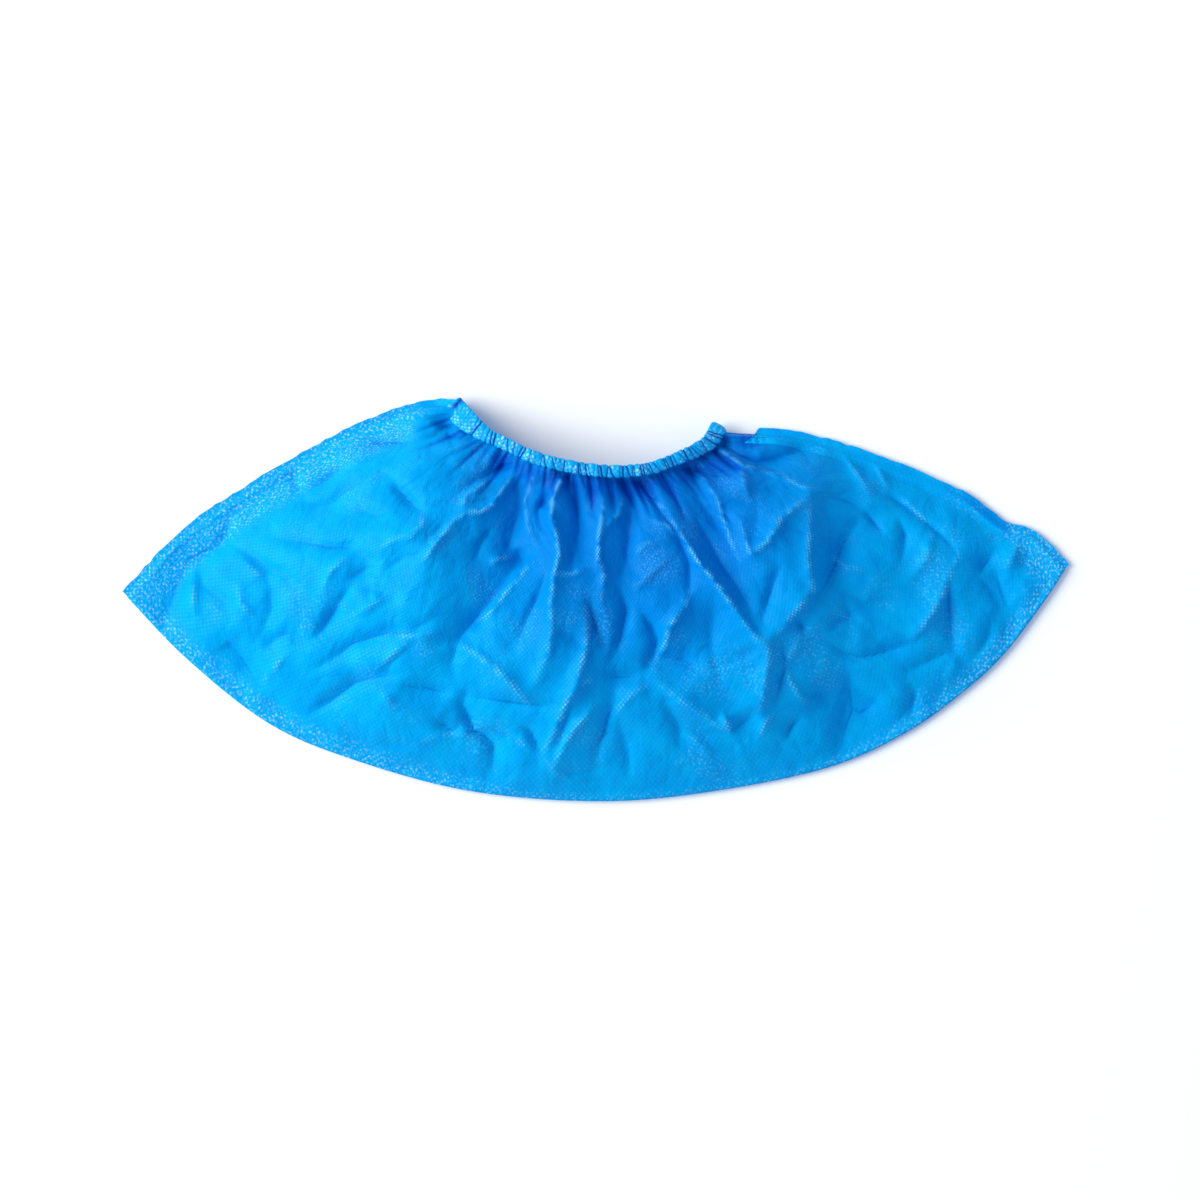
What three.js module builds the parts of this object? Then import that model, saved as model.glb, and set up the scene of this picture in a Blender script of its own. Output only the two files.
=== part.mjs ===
// Disposable shoe cover of spunbond nonwoven, lying slack on its side on the floor.
// One sheet is folded along the sole and welded shut at toe and heel. Its free edges make the collar,
// where a hem is turned over a flat elastic, which gathers the sheet into a fan of pleats.
// Millimetres. X runs from toe to heel, Y from the sole fold towards the collar, Z up from the floor.
// The side that faces up is the near side, and the one on the floor is the far side.

import * as THREE from 'three';

// Outline of the cover as it lies, seen from above
const LAID_LENGTH = 348.5; // toe tip to heel tip along the sheet
const TOE_TIP_UP = 76; // toe tip above the lowest point of the sole fold
const HEEL_TIP_UP = 86;
const TOE_CORNER_UP = 145.5; // collar's corner at the toe end, above the same point
const HEEL_CORNER_UP = 137;
const COLLAR_SPAN = 95; // between the two corners of the gathered collar
const COLLAR_OFFSET = -3; // middle of the collar from the middle of the length
const COLLAR_DIP = 20; // how far the collar sags between its corners

// Fullness of the slack pouch
const PUFF = 34; // outside thickness where it stands fullest
const MOUTH = 21; // outside height of the open collar
const CORNER_HEIGHT = 5; // outside height at each corner of the collar
const EDGE_HEIGHT = 2; // outside height along the sole fold and the welded ends
const COLLAR_LIFT = 2.4; // far side's collar above the floor, on its own hem
const PLEATS = 13; // folds gathered along each side of the collar
const PLEAT_HEIGHT = 1.5; // crest to trough at the collar
const PLEAT_REACH = 0.42; // share of the side that the pleats run down
const FOLD_HEIGHT = 4; // height of the largest soft fold on the near side
const FOLD_FADE = 0.12; // share of the side, from each welded end and the sole fold, where folds fade in
const COLLAR_FADE = 0.2; // share of the side below the collar where they fade out
const CREST_END = 0.15; // how far a fold has risen at its two ends, as a share of a half wave
const CORNER_REACH = 0.25; // share of the side over which the edges thicken towards the corners

// Sheet, hem, elastic and welds
const WALL = 0.5;
const CLEARANCE = 0.3;
const ELASTIC_WIDTH = 2.5;
const HEM_OVERLAP = 1.6; // how far the hem reaches down the sheet
const HEM_ROUND = 0.35; // chamfer of the hem's turned edge
const WELD_WIDTH = 2.4;
const WELD_HEIGHT = 1.2;
const WELD_END = 0.95; // share of the welded edge that the weld reaches, short of the hem

// Steps of the mesh
const STEPS_ALONG = 56;
const STEPS_UP = 14;
const CROWDING = 0.3; // how much closer the steps along lie at the two ends, from 0 to 1
const SLOPE_STEP = 0.004; // share of an edge over which its direction is measured

// Sole fold. along: share of LAID_LENGTH from its middle. up: share of the nearer tip's height.
const SOLE_FOLD = [
  { along: -0.5, up: 1 },
  { along: -0.437, up: 0.7 },
  { along: -0.352, up: 0.39 },
  { along: -0.266, up: 0.215 },
  { along: -0.138, up: 0.053 },
  { along: 0, up: 0 },
  { along: 0.117, up: 0.038 },
  { along: 0.245, up: 0.143 },
  { along: 0.33, up: 0.295 },
  { along: 0.394, up: 0.48 },
  { along: 0.437, up: 0.645 },
  { along: 0.479, up: 0.87 },
  { along: 0.5, up: 1 },
];

// Welded ends. at: share of the way from tip to collar corner. out: bulge, as a share of that distance.
const TOE_EDGE = [
  { at: 0, out: 0 },
  { at: 0.222, out: 0.066 },
  { at: 0.475, out: 0.086 },
  { at: 0.718, out: 0.084 },
  { at: 0.886, out: 0.061 },
  { at: 0.962, out: 0.033 },
  { at: 1, out: 0 },
];
const HEEL_EDGE = [
  { at: 0, out: 0 },
  { at: 0.116, out: 0.05 },
  { at: 0.2, out: 0.046 },
  { at: 0.33, out: 0.078 },
  { at: 0.56, out: 0.086 },
  { at: 0.79, out: 0.066 },
  { at: 0.9, out: 0.034 },
  { at: 1, out: 0 },
];

// Collar. at: share of the span from the toe corner. dip: share of COLLAR_DIP.
const COLLAR = [
  { at: 0, dip: 0 },
  { at: 0.093, dip: 0.44 },
  { at: 0.168, dip: 0.62 },
  { at: 0.32, dip: 0.89 },
  { at: 0.54, dip: 1 },
  { at: 0.73, dip: 0.88 },
  { at: 0.88, dip: 0.54 },
  { at: 0.965, dip: 0.26 },
  { at: 1, dip: 0 },
];

// Sections from toe to heel. at: share of the length. full: share of the thickness in the middle.
const SECTIONS = [
  { at: 0, full: 0 },
  { at: 0.06, full: 0.3 },
  { at: 0.16, full: 0.62 },
  { at: 0.3, full: 0.9 },
  { at: 0.47, full: 1 },
  { at: 0.66, full: 0.93 },
  { at: 0.82, full: 0.68 },
  { at: 0.94, full: 0.32 },
  { at: 1, full: 0 },
];

// One section, from the sole fold to the collar. up: share of the side. full: share of PUFF.
const SECTION = [
  { up: 0, full: 0 },
  { up: 0.1, full: 0.4 },
  { up: 0.25, full: 0.74 },
  { up: 0.5, full: 1 },
  { up: 0.78, full: 0.84 },
  { up: 1, full: MOUTH / PUFF },
];

// Soft folds of the near side. Ends are shares of the length and of the side, width a share of
// LAID_LENGTH, and rise a share of FOLD_HEIGHT: ridges are positive, troughs negative.
const SOFT_FOLDS = [
  { fromAlong: 0.42, fromUp: 0.92, toAlong: 0.4, toUp: 0.34, width: 0.028, rise: 0.8 },
  { fromAlong: 0.5, fromUp: 0.94, toAlong: 0.47, toUp: 0.3, width: 0.03, rise: -0.7 },
  { fromAlong: 0.55, fromUp: 0.94, toAlong: 0.53, toUp: 0.42, width: 0.026, rise: 0.7 },
  { fromAlong: 0.62, fromUp: 0.95, toAlong: 0.66, toUp: 0.34, width: 0.03, rise: 1 },
  { fromAlong: 0.7, fromUp: 0.94, toAlong: 0.72, toUp: 0.4, width: 0.03, rise: -0.9 },
  { fromAlong: 0.8, fromUp: 0.86, toAlong: 0.78, toUp: 0.44, width: 0.03, rise: 0.6 },
  { fromAlong: 0.86, fromUp: 0.66, toAlong: 0.8, toUp: 0.28, width: 0.028, rise: -0.6 },
  { fromAlong: 0.33, fromUp: 0.94, toAlong: 0.27, toUp: 0.5, width: 0.034, rise: -0.8 },
  { fromAlong: 0.22, fromUp: 0.74, toAlong: 0.38, toUp: 0.58, width: 0.032, rise: 0.7 },
  { fromAlong: 0.16, fromUp: 0.44, toAlong: 0.34, toUp: 0.4, width: 0.03, rise: 0.6 },
  { fromAlong: 0.24, fromUp: 0.24, toAlong: 0.38, toUp: 0.22, width: 0.03, rise: -0.6 },
  { fromAlong: 0.58, fromUp: 0.26, toAlong: 0.7, toUp: 0.2, width: 0.036, rise: 0.5 },
];

const NONWOVEN_BLUE = 0x0c8fe4;
const HEM_BLUE = 0x0a7fd6;
const WELD_BLUE = 0x2aa3ea;
const RUBBER_WHITE = 0xe9e6dc;

const UPWARD = new THREE.Vector3(0, 0, 1);

// Smoothly rises from 0 to 1 as x goes from start to end.
const ease = (x, start, end) => THREE.MathUtils.smoothstep(x, start, end);

// Value of a table's column at x, joined smoothly through the rows with level tops at its ends.
function between(rows, key, column, x) {
  const last = rows.length - 1;
  let i = 0;
  while (i < last - 1 && x > rows[i + 1][key]) i += 1;
  const slope = (k) => {
    const a = rows[Math.max(k - 1, 0)];
    const b = rows[Math.min(k + 1, last)];
    return (b[column] - a[column]) / (b[key] - a[key]);
  };
  const span = rows[i + 1][key] - rows[i][key];
  const t = (x - rows[i][key]) / span;
  const blend = 3 * t ** 2 - 2 * t ** 3;
  return (
    (1 - blend) * rows[i][column] +
    (t ** 3 - 2 * t ** 2 + t) * span * slope(i) +
    blend * rows[i + 1][column] +
    (t ** 3 - t ** 2) * span * slope(i + 1)
  );
}

// Corners of the sheet as it lies, and the four edges between them, as curves in plan.
const toeTip = new THREE.Vector2(-LAID_LENGTH / 2, TOE_TIP_UP);
const heelTip = new THREE.Vector2(LAID_LENGTH / 2, HEEL_TIP_UP);
const toeCorner = new THREE.Vector2(COLLAR_OFFSET - COLLAR_SPAN / 2, TOE_CORNER_UP);
const heelCorner = new THREE.Vector2(COLLAR_OFFSET + COLLAR_SPAN / 2, HEEL_CORNER_UP);

const soleFold = new THREE.SplineCurve(
  SOLE_FOLD.map(({ along, up }) => {
    const tipUp = along < 0 ? TOE_TIP_UP : HEEL_TIP_UP;
    return new THREE.Vector2(along * LAID_LENGTH, up * tipUp);
  }),
);

// A welded end, bulging out of the straight line from tip to corner. side is 1 where out is to the left.
function weldedEdge(tip, corner, rows, side) {
  const line = corner.clone().sub(tip);
  const out = new THREE.Vector2(-line.y, line.x).multiplyScalar(side);
  return new THREE.SplineCurve(
    rows.map((row) => tip.clone().addScaledVector(line, row.at).addScaledVector(out, row.out)),
  );
}
const toeEdge = weldedEdge(toeTip, toeCorner, TOE_EDGE, 1);
const heelEdge = weldedEdge(heelTip, heelCorner, HEEL_EDGE, -1);

const collarEdge = new THREE.SplineCurve(
  COLLAR.map(({ at, dip }) => {
    const point = toeCorner.clone().lerp(heelCorner, at);
    point.y -= dip * COLLAR_DIP;
    return point;
  }),
);

// Unit direction of a curve at t.
function heading(curve, t) {
  const ahead = curve.getPointAt(Math.min(t + SLOPE_STEP, 1));
  return ahead.sub(curve.getPointAt(Math.max(t - SLOPE_STEP, 0))).normalize();
}

// Directions in plan: out of a welded end, out of the mouth, and out of the sole fold.
const outOfToe = (up) => new THREE.Vector2(-heading(toeEdge, up).y, heading(toeEdge, up).x);
const outOfHeel = (up) => new THREE.Vector2(heading(heelEdge, up).y, -heading(heelEdge, up).x);
const outOfMouth = (along) => new THREE.Vector2(-heading(collarEdge, along).y, heading(collarEdge, along).x);
const outOfFold = (along) => new THREE.Vector2(heading(soleFold, along).y, -heading(soleFold, along).x);

// Where a point of the flat sheet lies in plan: along runs 0 to 1 from toe to heel, up from fold to collar.
function plan(along, up) {
  const point = soleFold.getPointAt(along).multiplyScalar(1 - up);
  point.addScaledVector(collarEdge.getPointAt(along), up);
  point.addScaledVector(toeEdge.getPointAt(up), 1 - along);
  point.addScaledVector(heelEdge.getPointAt(up), along);
  point.addScaledVector(toeTip, -(1 - along) * (1 - up));
  point.addScaledVector(heelTip, -along * (1 - up));
  point.addScaledVector(toeCorner, -(1 - along) * up);
  point.addScaledVector(heelCorner, -along * up);
  return point;
}

// Pleats fade down the side and towards the two ends.
function pleats(along, up) {
  const fade = ease(up, 1 - PLEAT_REACH, 1) ** 2 * Math.sin(Math.PI * along) ** 0.5;
  return (PLEAT_HEIGHT / 2) * fade * Math.cos(2 * Math.PI * PLEATS * along);
}

// Height of one soft fold at a point: full along its crest, and fading to the sides and past its ends.
function softFold(row, along, up) {
  const end = new THREE.Vector2(row.toAlong - row.fromAlong, row.toUp - row.fromUp);
  const to = new THREE.Vector2(along - row.fromAlong, up - row.fromUp);
  const reach = THREE.MathUtils.clamp(to.dot(end) / end.lengthSq(), 0, 1);
  const crest = to.addScaledVector(end, -reach);
  const away = Math.hypot(crest.x * LAID_LENGTH, crest.y * TOE_CORNER_UP) / (row.width * LAID_LENGTH);
  const swell = Math.sin(Math.PI * THREE.MathUtils.lerp(CREST_END, 1 - CREST_END, reach));
  return FOLD_HEIGHT * row.rise * Math.exp(-(away ** 2)) * swell;
}

// Height of the far side above the floor: flat, and lifted along the collar on its hem.
function farHeight(along, up) {
  const lifted = ease(up, 1 - PLEAT_REACH, 1);
  return COLLAR_LIFT * lifted + pleats(along, up) / 2;
}

// Outside height of the near side above the far side.
function thickness(along, up) {
  const edge = THREE.MathUtils.lerp(EDGE_HEIGHT, CORNER_HEIGHT, ease(up, 1 - CORNER_REACH, 1));
  const fullness = between(SECTIONS, 'at', 'full', along) * between(SECTION, 'up', 'full', up);
  return edge + (PUFF - edge) * Math.max(fullness, 0);
}

// Height of the near side above the floor, with its folds and pleats.
function nearHeight(along, up) {
  const fromEnds = ease(Math.min(along, 1 - along), 0, FOLD_FADE);
  const fromEdges = ease(up, 0, FOLD_FADE) * (1 - ease(up, 1 - COLLAR_FADE, 1));
  const folds = SOFT_FOLDS.reduce((sum, row) => sum + softFold(row, along, up), 0);
  return farHeight(along, up) + thickness(along, up) + folds * fromEnds * fromEdges + pleats(along, up);
}

// Runs from 0 to 1 as x does, slow at both ends.
const slowEnds = (x) => (1 - Math.cos(Math.PI * x)) / 2;

// Shares along the length, a little closer together at the two ends.
const stationsAlong = Array.from({ length: STEPS_ALONG + 1 }, (_, i) => {
  const even = i / STEPS_ALONG;
  return THREE.MathUtils.lerp(even, slowEnds(even), CROWDING);
});

// Shares up the side, closer together at the fold and the collar. The last but one is where the hem ends.
const hemFoot = 1 - HEM_OVERLAP / plan(0.5, 1).distanceTo(plan(0.5, 0));
const stationsUp = Array.from({ length: STEPS_UP }, (_, j) => hemFoot * slowEnds(j / (STEPS_UP - 1)));
stationsUp.push(1);

// A point of the outer surface, with the direction in which a wall is measured there.
function skin(along, up, near) {
  const outward = UPWARD.clone().multiplyScalar(near ? 1 : -1);
  const sideways = new THREE.Vector2();
  if (along === 0) sideways.add(outOfToe(up));
  if (along === 1) sideways.add(outOfHeel(up));
  if (up === 0) sideways.add(outOfFold(along));
  outward.x += sideways.x;
  outward.y += sideways.y;
  const { x, y } = plan(along, up);
  const z = near ? nearHeight(along, up) : farHeight(along, up);
  return { point: new THREE.Vector3(x, y, z), outward };
}

// One ring round the pouch at a share of the side: near side from toe to heel, far side back again.
function ring(up) {
  const near = stationsAlong.map((along) => ({ along, ...skin(along, up, true) }));
  const far = stationsAlong.map((along) => ({ along, ...skin(along, up, false) }));
  return near.concat(far.reverse());
}

// A named mesh from points and faces, each face a list of four point numbers.
function solid(name, points, faces, color, roughness) {
  const corners = faces.flatMap(([a, b, c, d]) => [a, b, c, a, c, d]);
  const geometry = new THREE.BufferGeometry().setFromPoints(points);
  geometry.setIndex(corners);
  geometry.computeVertexNormals();
  const mesh = new THREE.Mesh(geometry, new THREE.MeshStandardMaterial({ color, roughness, metalness: 0 }));
  mesh.name = name;
  return mesh;
}

// A face seen from its other side.
const flip = (face) => face.slice().reverse();

// Faces between two closed rings of equal count that start at point numbers a and b.
function band(a, b, count) {
  return Array.from({ length: count }, (_, k) => {
    const next = (k + 1) % count;
    return [a + k, a + next, b + next, b + k];
  });
}

// The folded sheet: an outer and an inner skin of rings, each closed at the sole fold, joined at the collar.
function makeUpper() {
  const rings = stationsUp.map(ring);
  const count = rings[0].length;
  const outer = rings.flatMap((row) => row.map(({ point }) => point));
  const inner = rings.flatMap((row) =>
    row.map(({ point, outward }) => point.clone().addScaledVector(outward, -WALL)),
  );
  const faces = [];
  for (let j = 0; j < STEPS_UP; j += 1) {
    faces.push(...band(j * count, (j + 1) * count, count));
    faces.push(...band(outer.length + j * count, outer.length + (j + 1) * count, count).map(flip));
  }
  for (let k = 0; k < STEPS_ALONG; k += 1) {
    const fold = [k + 1, k, count - 1 - k, count - 2 - k];
    faces.push(fold, flip(fold.map((n) => n + outer.length)));
  }
  faces.push(...band(STEPS_UP * count, outer.length + STEPS_UP * count, count));
  return solid('upper', outer.concat(inner), faces, NONWOVEN_BLUE, 0.55);
}

// Sweeps a closed section round the collar. A section's point is beyond the sheet's edge, or at the
// hem's foot where beyond is null, and out of the sheet's outer face.
function sweepCollar(name, section, color, roughness) {
  const edge = ring(1);
  const foot = ring(hemFoot);
  const points = section.flatMap(({ beyond, out }) =>
    (beyond === null ? foot : edge).map(({ along, point, outward }) => {
      const mouth = outOfMouth(along).multiplyScalar(beyond ?? 0);
      return point.clone().addScaledVector(outward, out).add(new THREE.Vector3(mouth.x, mouth.y, 0));
    }),
  );
  const count = edge.length;
  const faces = section.flatMap((_, k) => band(k * count, ((k + 1) % section.length) * count, count));
  return solid(name, points, faces, color, roughness);
}

// The hem: the sheet's edge turned over the elastic, with a leg on each face of the sheet.
function makeHem() {
  const head = CLEARANCE + ELASTIC_WIDTH + CLEARANCE + WALL;
  const outerFace = CLEARANCE + WALL;
  const innerFace = -(WALL + CLEARANCE + WALL);
  const section = [
    { beyond: null, out: outerFace },
    { beyond: 0, out: outerFace },
    { beyond: head - HEM_ROUND, out: outerFace },
    { beyond: head, out: outerFace - HEM_ROUND },
    { beyond: head, out: innerFace + HEM_ROUND },
    { beyond: head - HEM_ROUND, out: innerFace },
    { beyond: 0, out: innerFace },
    { beyond: null, out: innerFace },
    { beyond: null, out: innerFace + WALL },
    { beyond: 0, out: innerFace + WALL },
    { beyond: head - WALL, out: innerFace + WALL },
    { beyond: head - WALL, out: outerFace - WALL },
    { beyond: 0, out: outerFace - WALL },
    { beyond: null, out: outerFace - WALL },
  ];
  return sweepCollar('collar_hem', section, HEM_BLUE, 0.5);
}

// The flat elastic that lies in the hem's fold, as thick as the sheet.
function makeElastic() {
  const far = CLEARANCE + ELASTIC_WIDTH;
  const section = [
    { beyond: CLEARANCE, out: 0 },
    { beyond: far, out: 0 },
    { beyond: far, out: -WALL },
    { beyond: CLEARANCE, out: -WALL },
  ];
  return sweepCollar('elastic', section, RUBBER_WHITE, 0.8);
}

// A welded end: the two layers fused into one flat strip outside the pouch.
function makeWeld(name, edge, outOf, along) {
  const shares = stationsUp.filter((up) => up > 0 && up <= WELD_END);
  const corners = [
    { away: CLEARANCE, high: 0 },
    { away: CLEARANCE + WELD_WIDTH, high: 0 },
    { away: CLEARANCE + WELD_WIDTH, high: WELD_HEIGHT },
    { away: CLEARANCE, high: WELD_HEIGHT },
  ];
  const points = shares.flatMap((up) => {
    const foot = edge.getPointAt(up);
    const out = outOf(up);
    const low = farHeight(along, up) + (thickness(along, up) - WELD_HEIGHT) / 2;
    return corners.map(({ away, high }) => {
      const place = foot.clone().addScaledVector(out, away);
      return new THREE.Vector3(place.x, place.y, low + high);
    });
  });
  const around = corners.length;
  const steps = shares.length - 1;
  const faces = [[0, 1, 2, 3], [3, 2, 1, 0].map((n) => n + steps * around)];
  for (let i = 0; i < steps; i += 1) faces.push(...band((i + 1) * around, i * around, around));
  return solid(name, points, along === 1 ? faces : faces.map(flip), WELD_BLUE, 0.4);
}

const cover = new THREE.Group();
cover.add(
  makeUpper(),
  makeHem(),
  makeElastic(),
  makeWeld('toe_weld', toeEdge, outOfToe, 0),
  makeWeld('heel_weld', heelEdge, outOfHeel, 1),
);

// The origin is on the floor, under the middle of the whole.
const extent = new THREE.Box3().setFromObject(cover);
const middle = extent.getCenter(new THREE.Vector3());
cover.position.set(-middle.x, -middle.y, -extent.min.z);

export default cover;
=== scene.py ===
"""Looks of a disposable shoe cover of blue spunbond nonwoven, lying slack on its side on a pale floor.

Shapes are worked out in millimetres in the frame's own axes, and meshes are written in metres. X runs from
the toe end to the heel end, Y from the sole fold to the collar, and Z up from the floor. The side that faces
up is the near side, and the one on the floor is the far side. A point of the flat sheet is known by two
shares: along, 0 at the toe end and 1 at the heel end, and up, 0 at the sole fold and 1 at the collar.
"""

from __future__ import annotations
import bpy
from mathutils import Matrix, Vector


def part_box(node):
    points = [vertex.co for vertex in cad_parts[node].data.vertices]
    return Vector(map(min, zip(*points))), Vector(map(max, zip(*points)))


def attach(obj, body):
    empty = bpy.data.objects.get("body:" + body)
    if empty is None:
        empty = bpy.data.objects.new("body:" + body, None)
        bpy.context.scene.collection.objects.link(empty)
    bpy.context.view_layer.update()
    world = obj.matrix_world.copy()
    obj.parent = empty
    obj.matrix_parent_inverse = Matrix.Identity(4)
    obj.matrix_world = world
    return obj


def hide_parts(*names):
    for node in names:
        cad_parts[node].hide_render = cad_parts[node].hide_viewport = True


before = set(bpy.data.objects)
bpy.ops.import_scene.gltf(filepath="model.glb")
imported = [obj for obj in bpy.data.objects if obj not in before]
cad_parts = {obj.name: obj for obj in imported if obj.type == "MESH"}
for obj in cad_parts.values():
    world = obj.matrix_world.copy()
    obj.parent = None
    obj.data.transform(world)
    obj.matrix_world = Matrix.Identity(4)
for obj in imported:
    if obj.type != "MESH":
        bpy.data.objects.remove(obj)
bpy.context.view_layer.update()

import logging
from dataclasses import dataclass
from enum import Enum
from functools import cached_property
from typing import Any, Callable

import bpy
import numpy as np
from mathutils import Vector
from mathutils.bvhtree import BVHTree
from mathutils.geometry import delaunay_2d_cdt

log = logging.getLogger("shoe_cover")

MM = 0.001

# The UV map, and the numbers that the meshes keep on their vertices, most of them masks of painted light and
# shade
CLOTH_UV = "cloth"
GLINT_BAND = "seal"
PAINTED_SHADE = "gather"
OPEN = "open"
CREST_HIGHLIGHT = "highlight"
RIM = "rim"

# Where the band of painted glints beside a weld fades, as shares up each end, and how far it is pushed out
# there
TOE_FADE = (0.8, 0.95)
HEEL_FADE = (0.1, 0.24)
GLINT_REACH = 14.0

# A ring before it is laid: its radius, that of its section, and the cuts across each face
RING_RADIUS = 1.0
SECTION_RADIUS = 0.25
RING_CUTS = 3

# Least turn at a border that is kept crisp
CRISP_TURN = np.radians(50)

Pair = tuple[float, float]
Table = tuple[Pair, ...]


def ease(x: np.ndarray | float, start: float, end: float) -> np.ndarray:
    """Smoothly rises from 0 to 1 as x goes from start to end.

    Args:
        x: Values to ease.
        start: Where the rise begins.
        end: Where it ends.

    Returns:
        The eased values.
    """
    share = np.clip((np.asarray(x, float) - start) / (end - start), 0.0, 1.0)
    return share * share * (3.0 - 2.0 * share)


def between(rows: Table, x: np.ndarray) -> np.ndarray:
    """Value of a table at x, joined smoothly through its rows.

    Args:
        rows: Rows of (key, value), in rising order of key.
        x: Keys to look up.

    Returns:
        One value for each key.
    """
    keys, values = np.array(rows, float).T
    before = np.maximum(np.arange(len(keys)) - 1, 0)
    after = np.minimum(np.arange(len(keys)) + 1, len(keys) - 1)
    slopes = (values[after] - values[before]) / (keys[after] - keys[before])
    row = np.clip(np.searchsorted(keys, x, side="right") - 1, 0, len(keys) - 2)
    span = keys[row + 1] - keys[row]
    t = (x - keys[row]) / span
    blend = 3 * t**2 - 2 * t**3
    level = (1 - blend) * values[row] + blend * values[row + 1]
    return level + (t**3 - 2 * t**2 + t) * span * slopes[row] + (t**3 - t**2) * span * slopes[row + 1]


def slow_ends(x: np.ndarray) -> np.ndarray:
    """Runs from 0 to 1 as x does, slow at both ends."""
    return (1.0 - np.cos(np.pi * x)) / 2.0


def turned(vectors: np.ndarray) -> np.ndarray:
    """Vectors in plan turned a quarter to the left."""
    return np.stack([-vectors[..., 1], vectors[..., 0]], axis=-1)


class Spline:
    """Smooth curve in plan through given points, known by shares of its own length."""

    SAMPLES = 4001  # points at which the curve is measured
    SLOPE_STEP = 0.004  # share of the length to each side that gives a direction

    def __init__(self, points: np.ndarray) -> None:
        """Samples the curve finely and measures it.

        Args:
            points: Points that the curve passes through, in millimetres.
        """
        knots = points
        spans = len(knots) - 1
        place = np.linspace(0, spans, self.SAMPLES)
        i = np.minimum(place.astype(int), spans - 1)
        t = (place - i)[:, None]
        start, end = knots[i], knots[i + 1]
        leave = (end - knots[np.maximum(i - 1, 0)]) / 2
        arrive = (knots[np.minimum(i + 2, spans)] - start) / 2
        cubic = 2 * start - 2 * end + leave + arrive
        square = -3 * start + 3 * end - 2 * leave - arrive
        self.points = cubic * t**3 + square * t**2 + leave * t + start
        steps = np.linalg.norm(np.diff(self.points, axis=0), axis=1)
        reach = np.concatenate([[0.0], np.cumsum(steps)])
        self.length = float(reach[-1])
        self.shares = reach / self.length

    def at(self, share: np.ndarray | float) -> np.ndarray:
        """Points at shares of the curve's length."""
        return np.stack([np.interp(share, self.shares, self.points[:, k]) for k in (0, 1)], axis=-1)

    def heading(self, share: np.ndarray | float) -> np.ndarray:
        """Unit directions of the curve.

        Args:
            share: Shares of the curve's length.

        Returns:
            One direction for each share.
        """
        ahead = self.at(np.minimum(np.asarray(share) + self.SLOPE_STEP, 1.0))
        way = ahead - self.at(np.maximum(np.asarray(share) - self.SLOPE_STEP, 0.0))
        return way / np.linalg.norm(way, axis=-1, keepdims=True)


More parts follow.
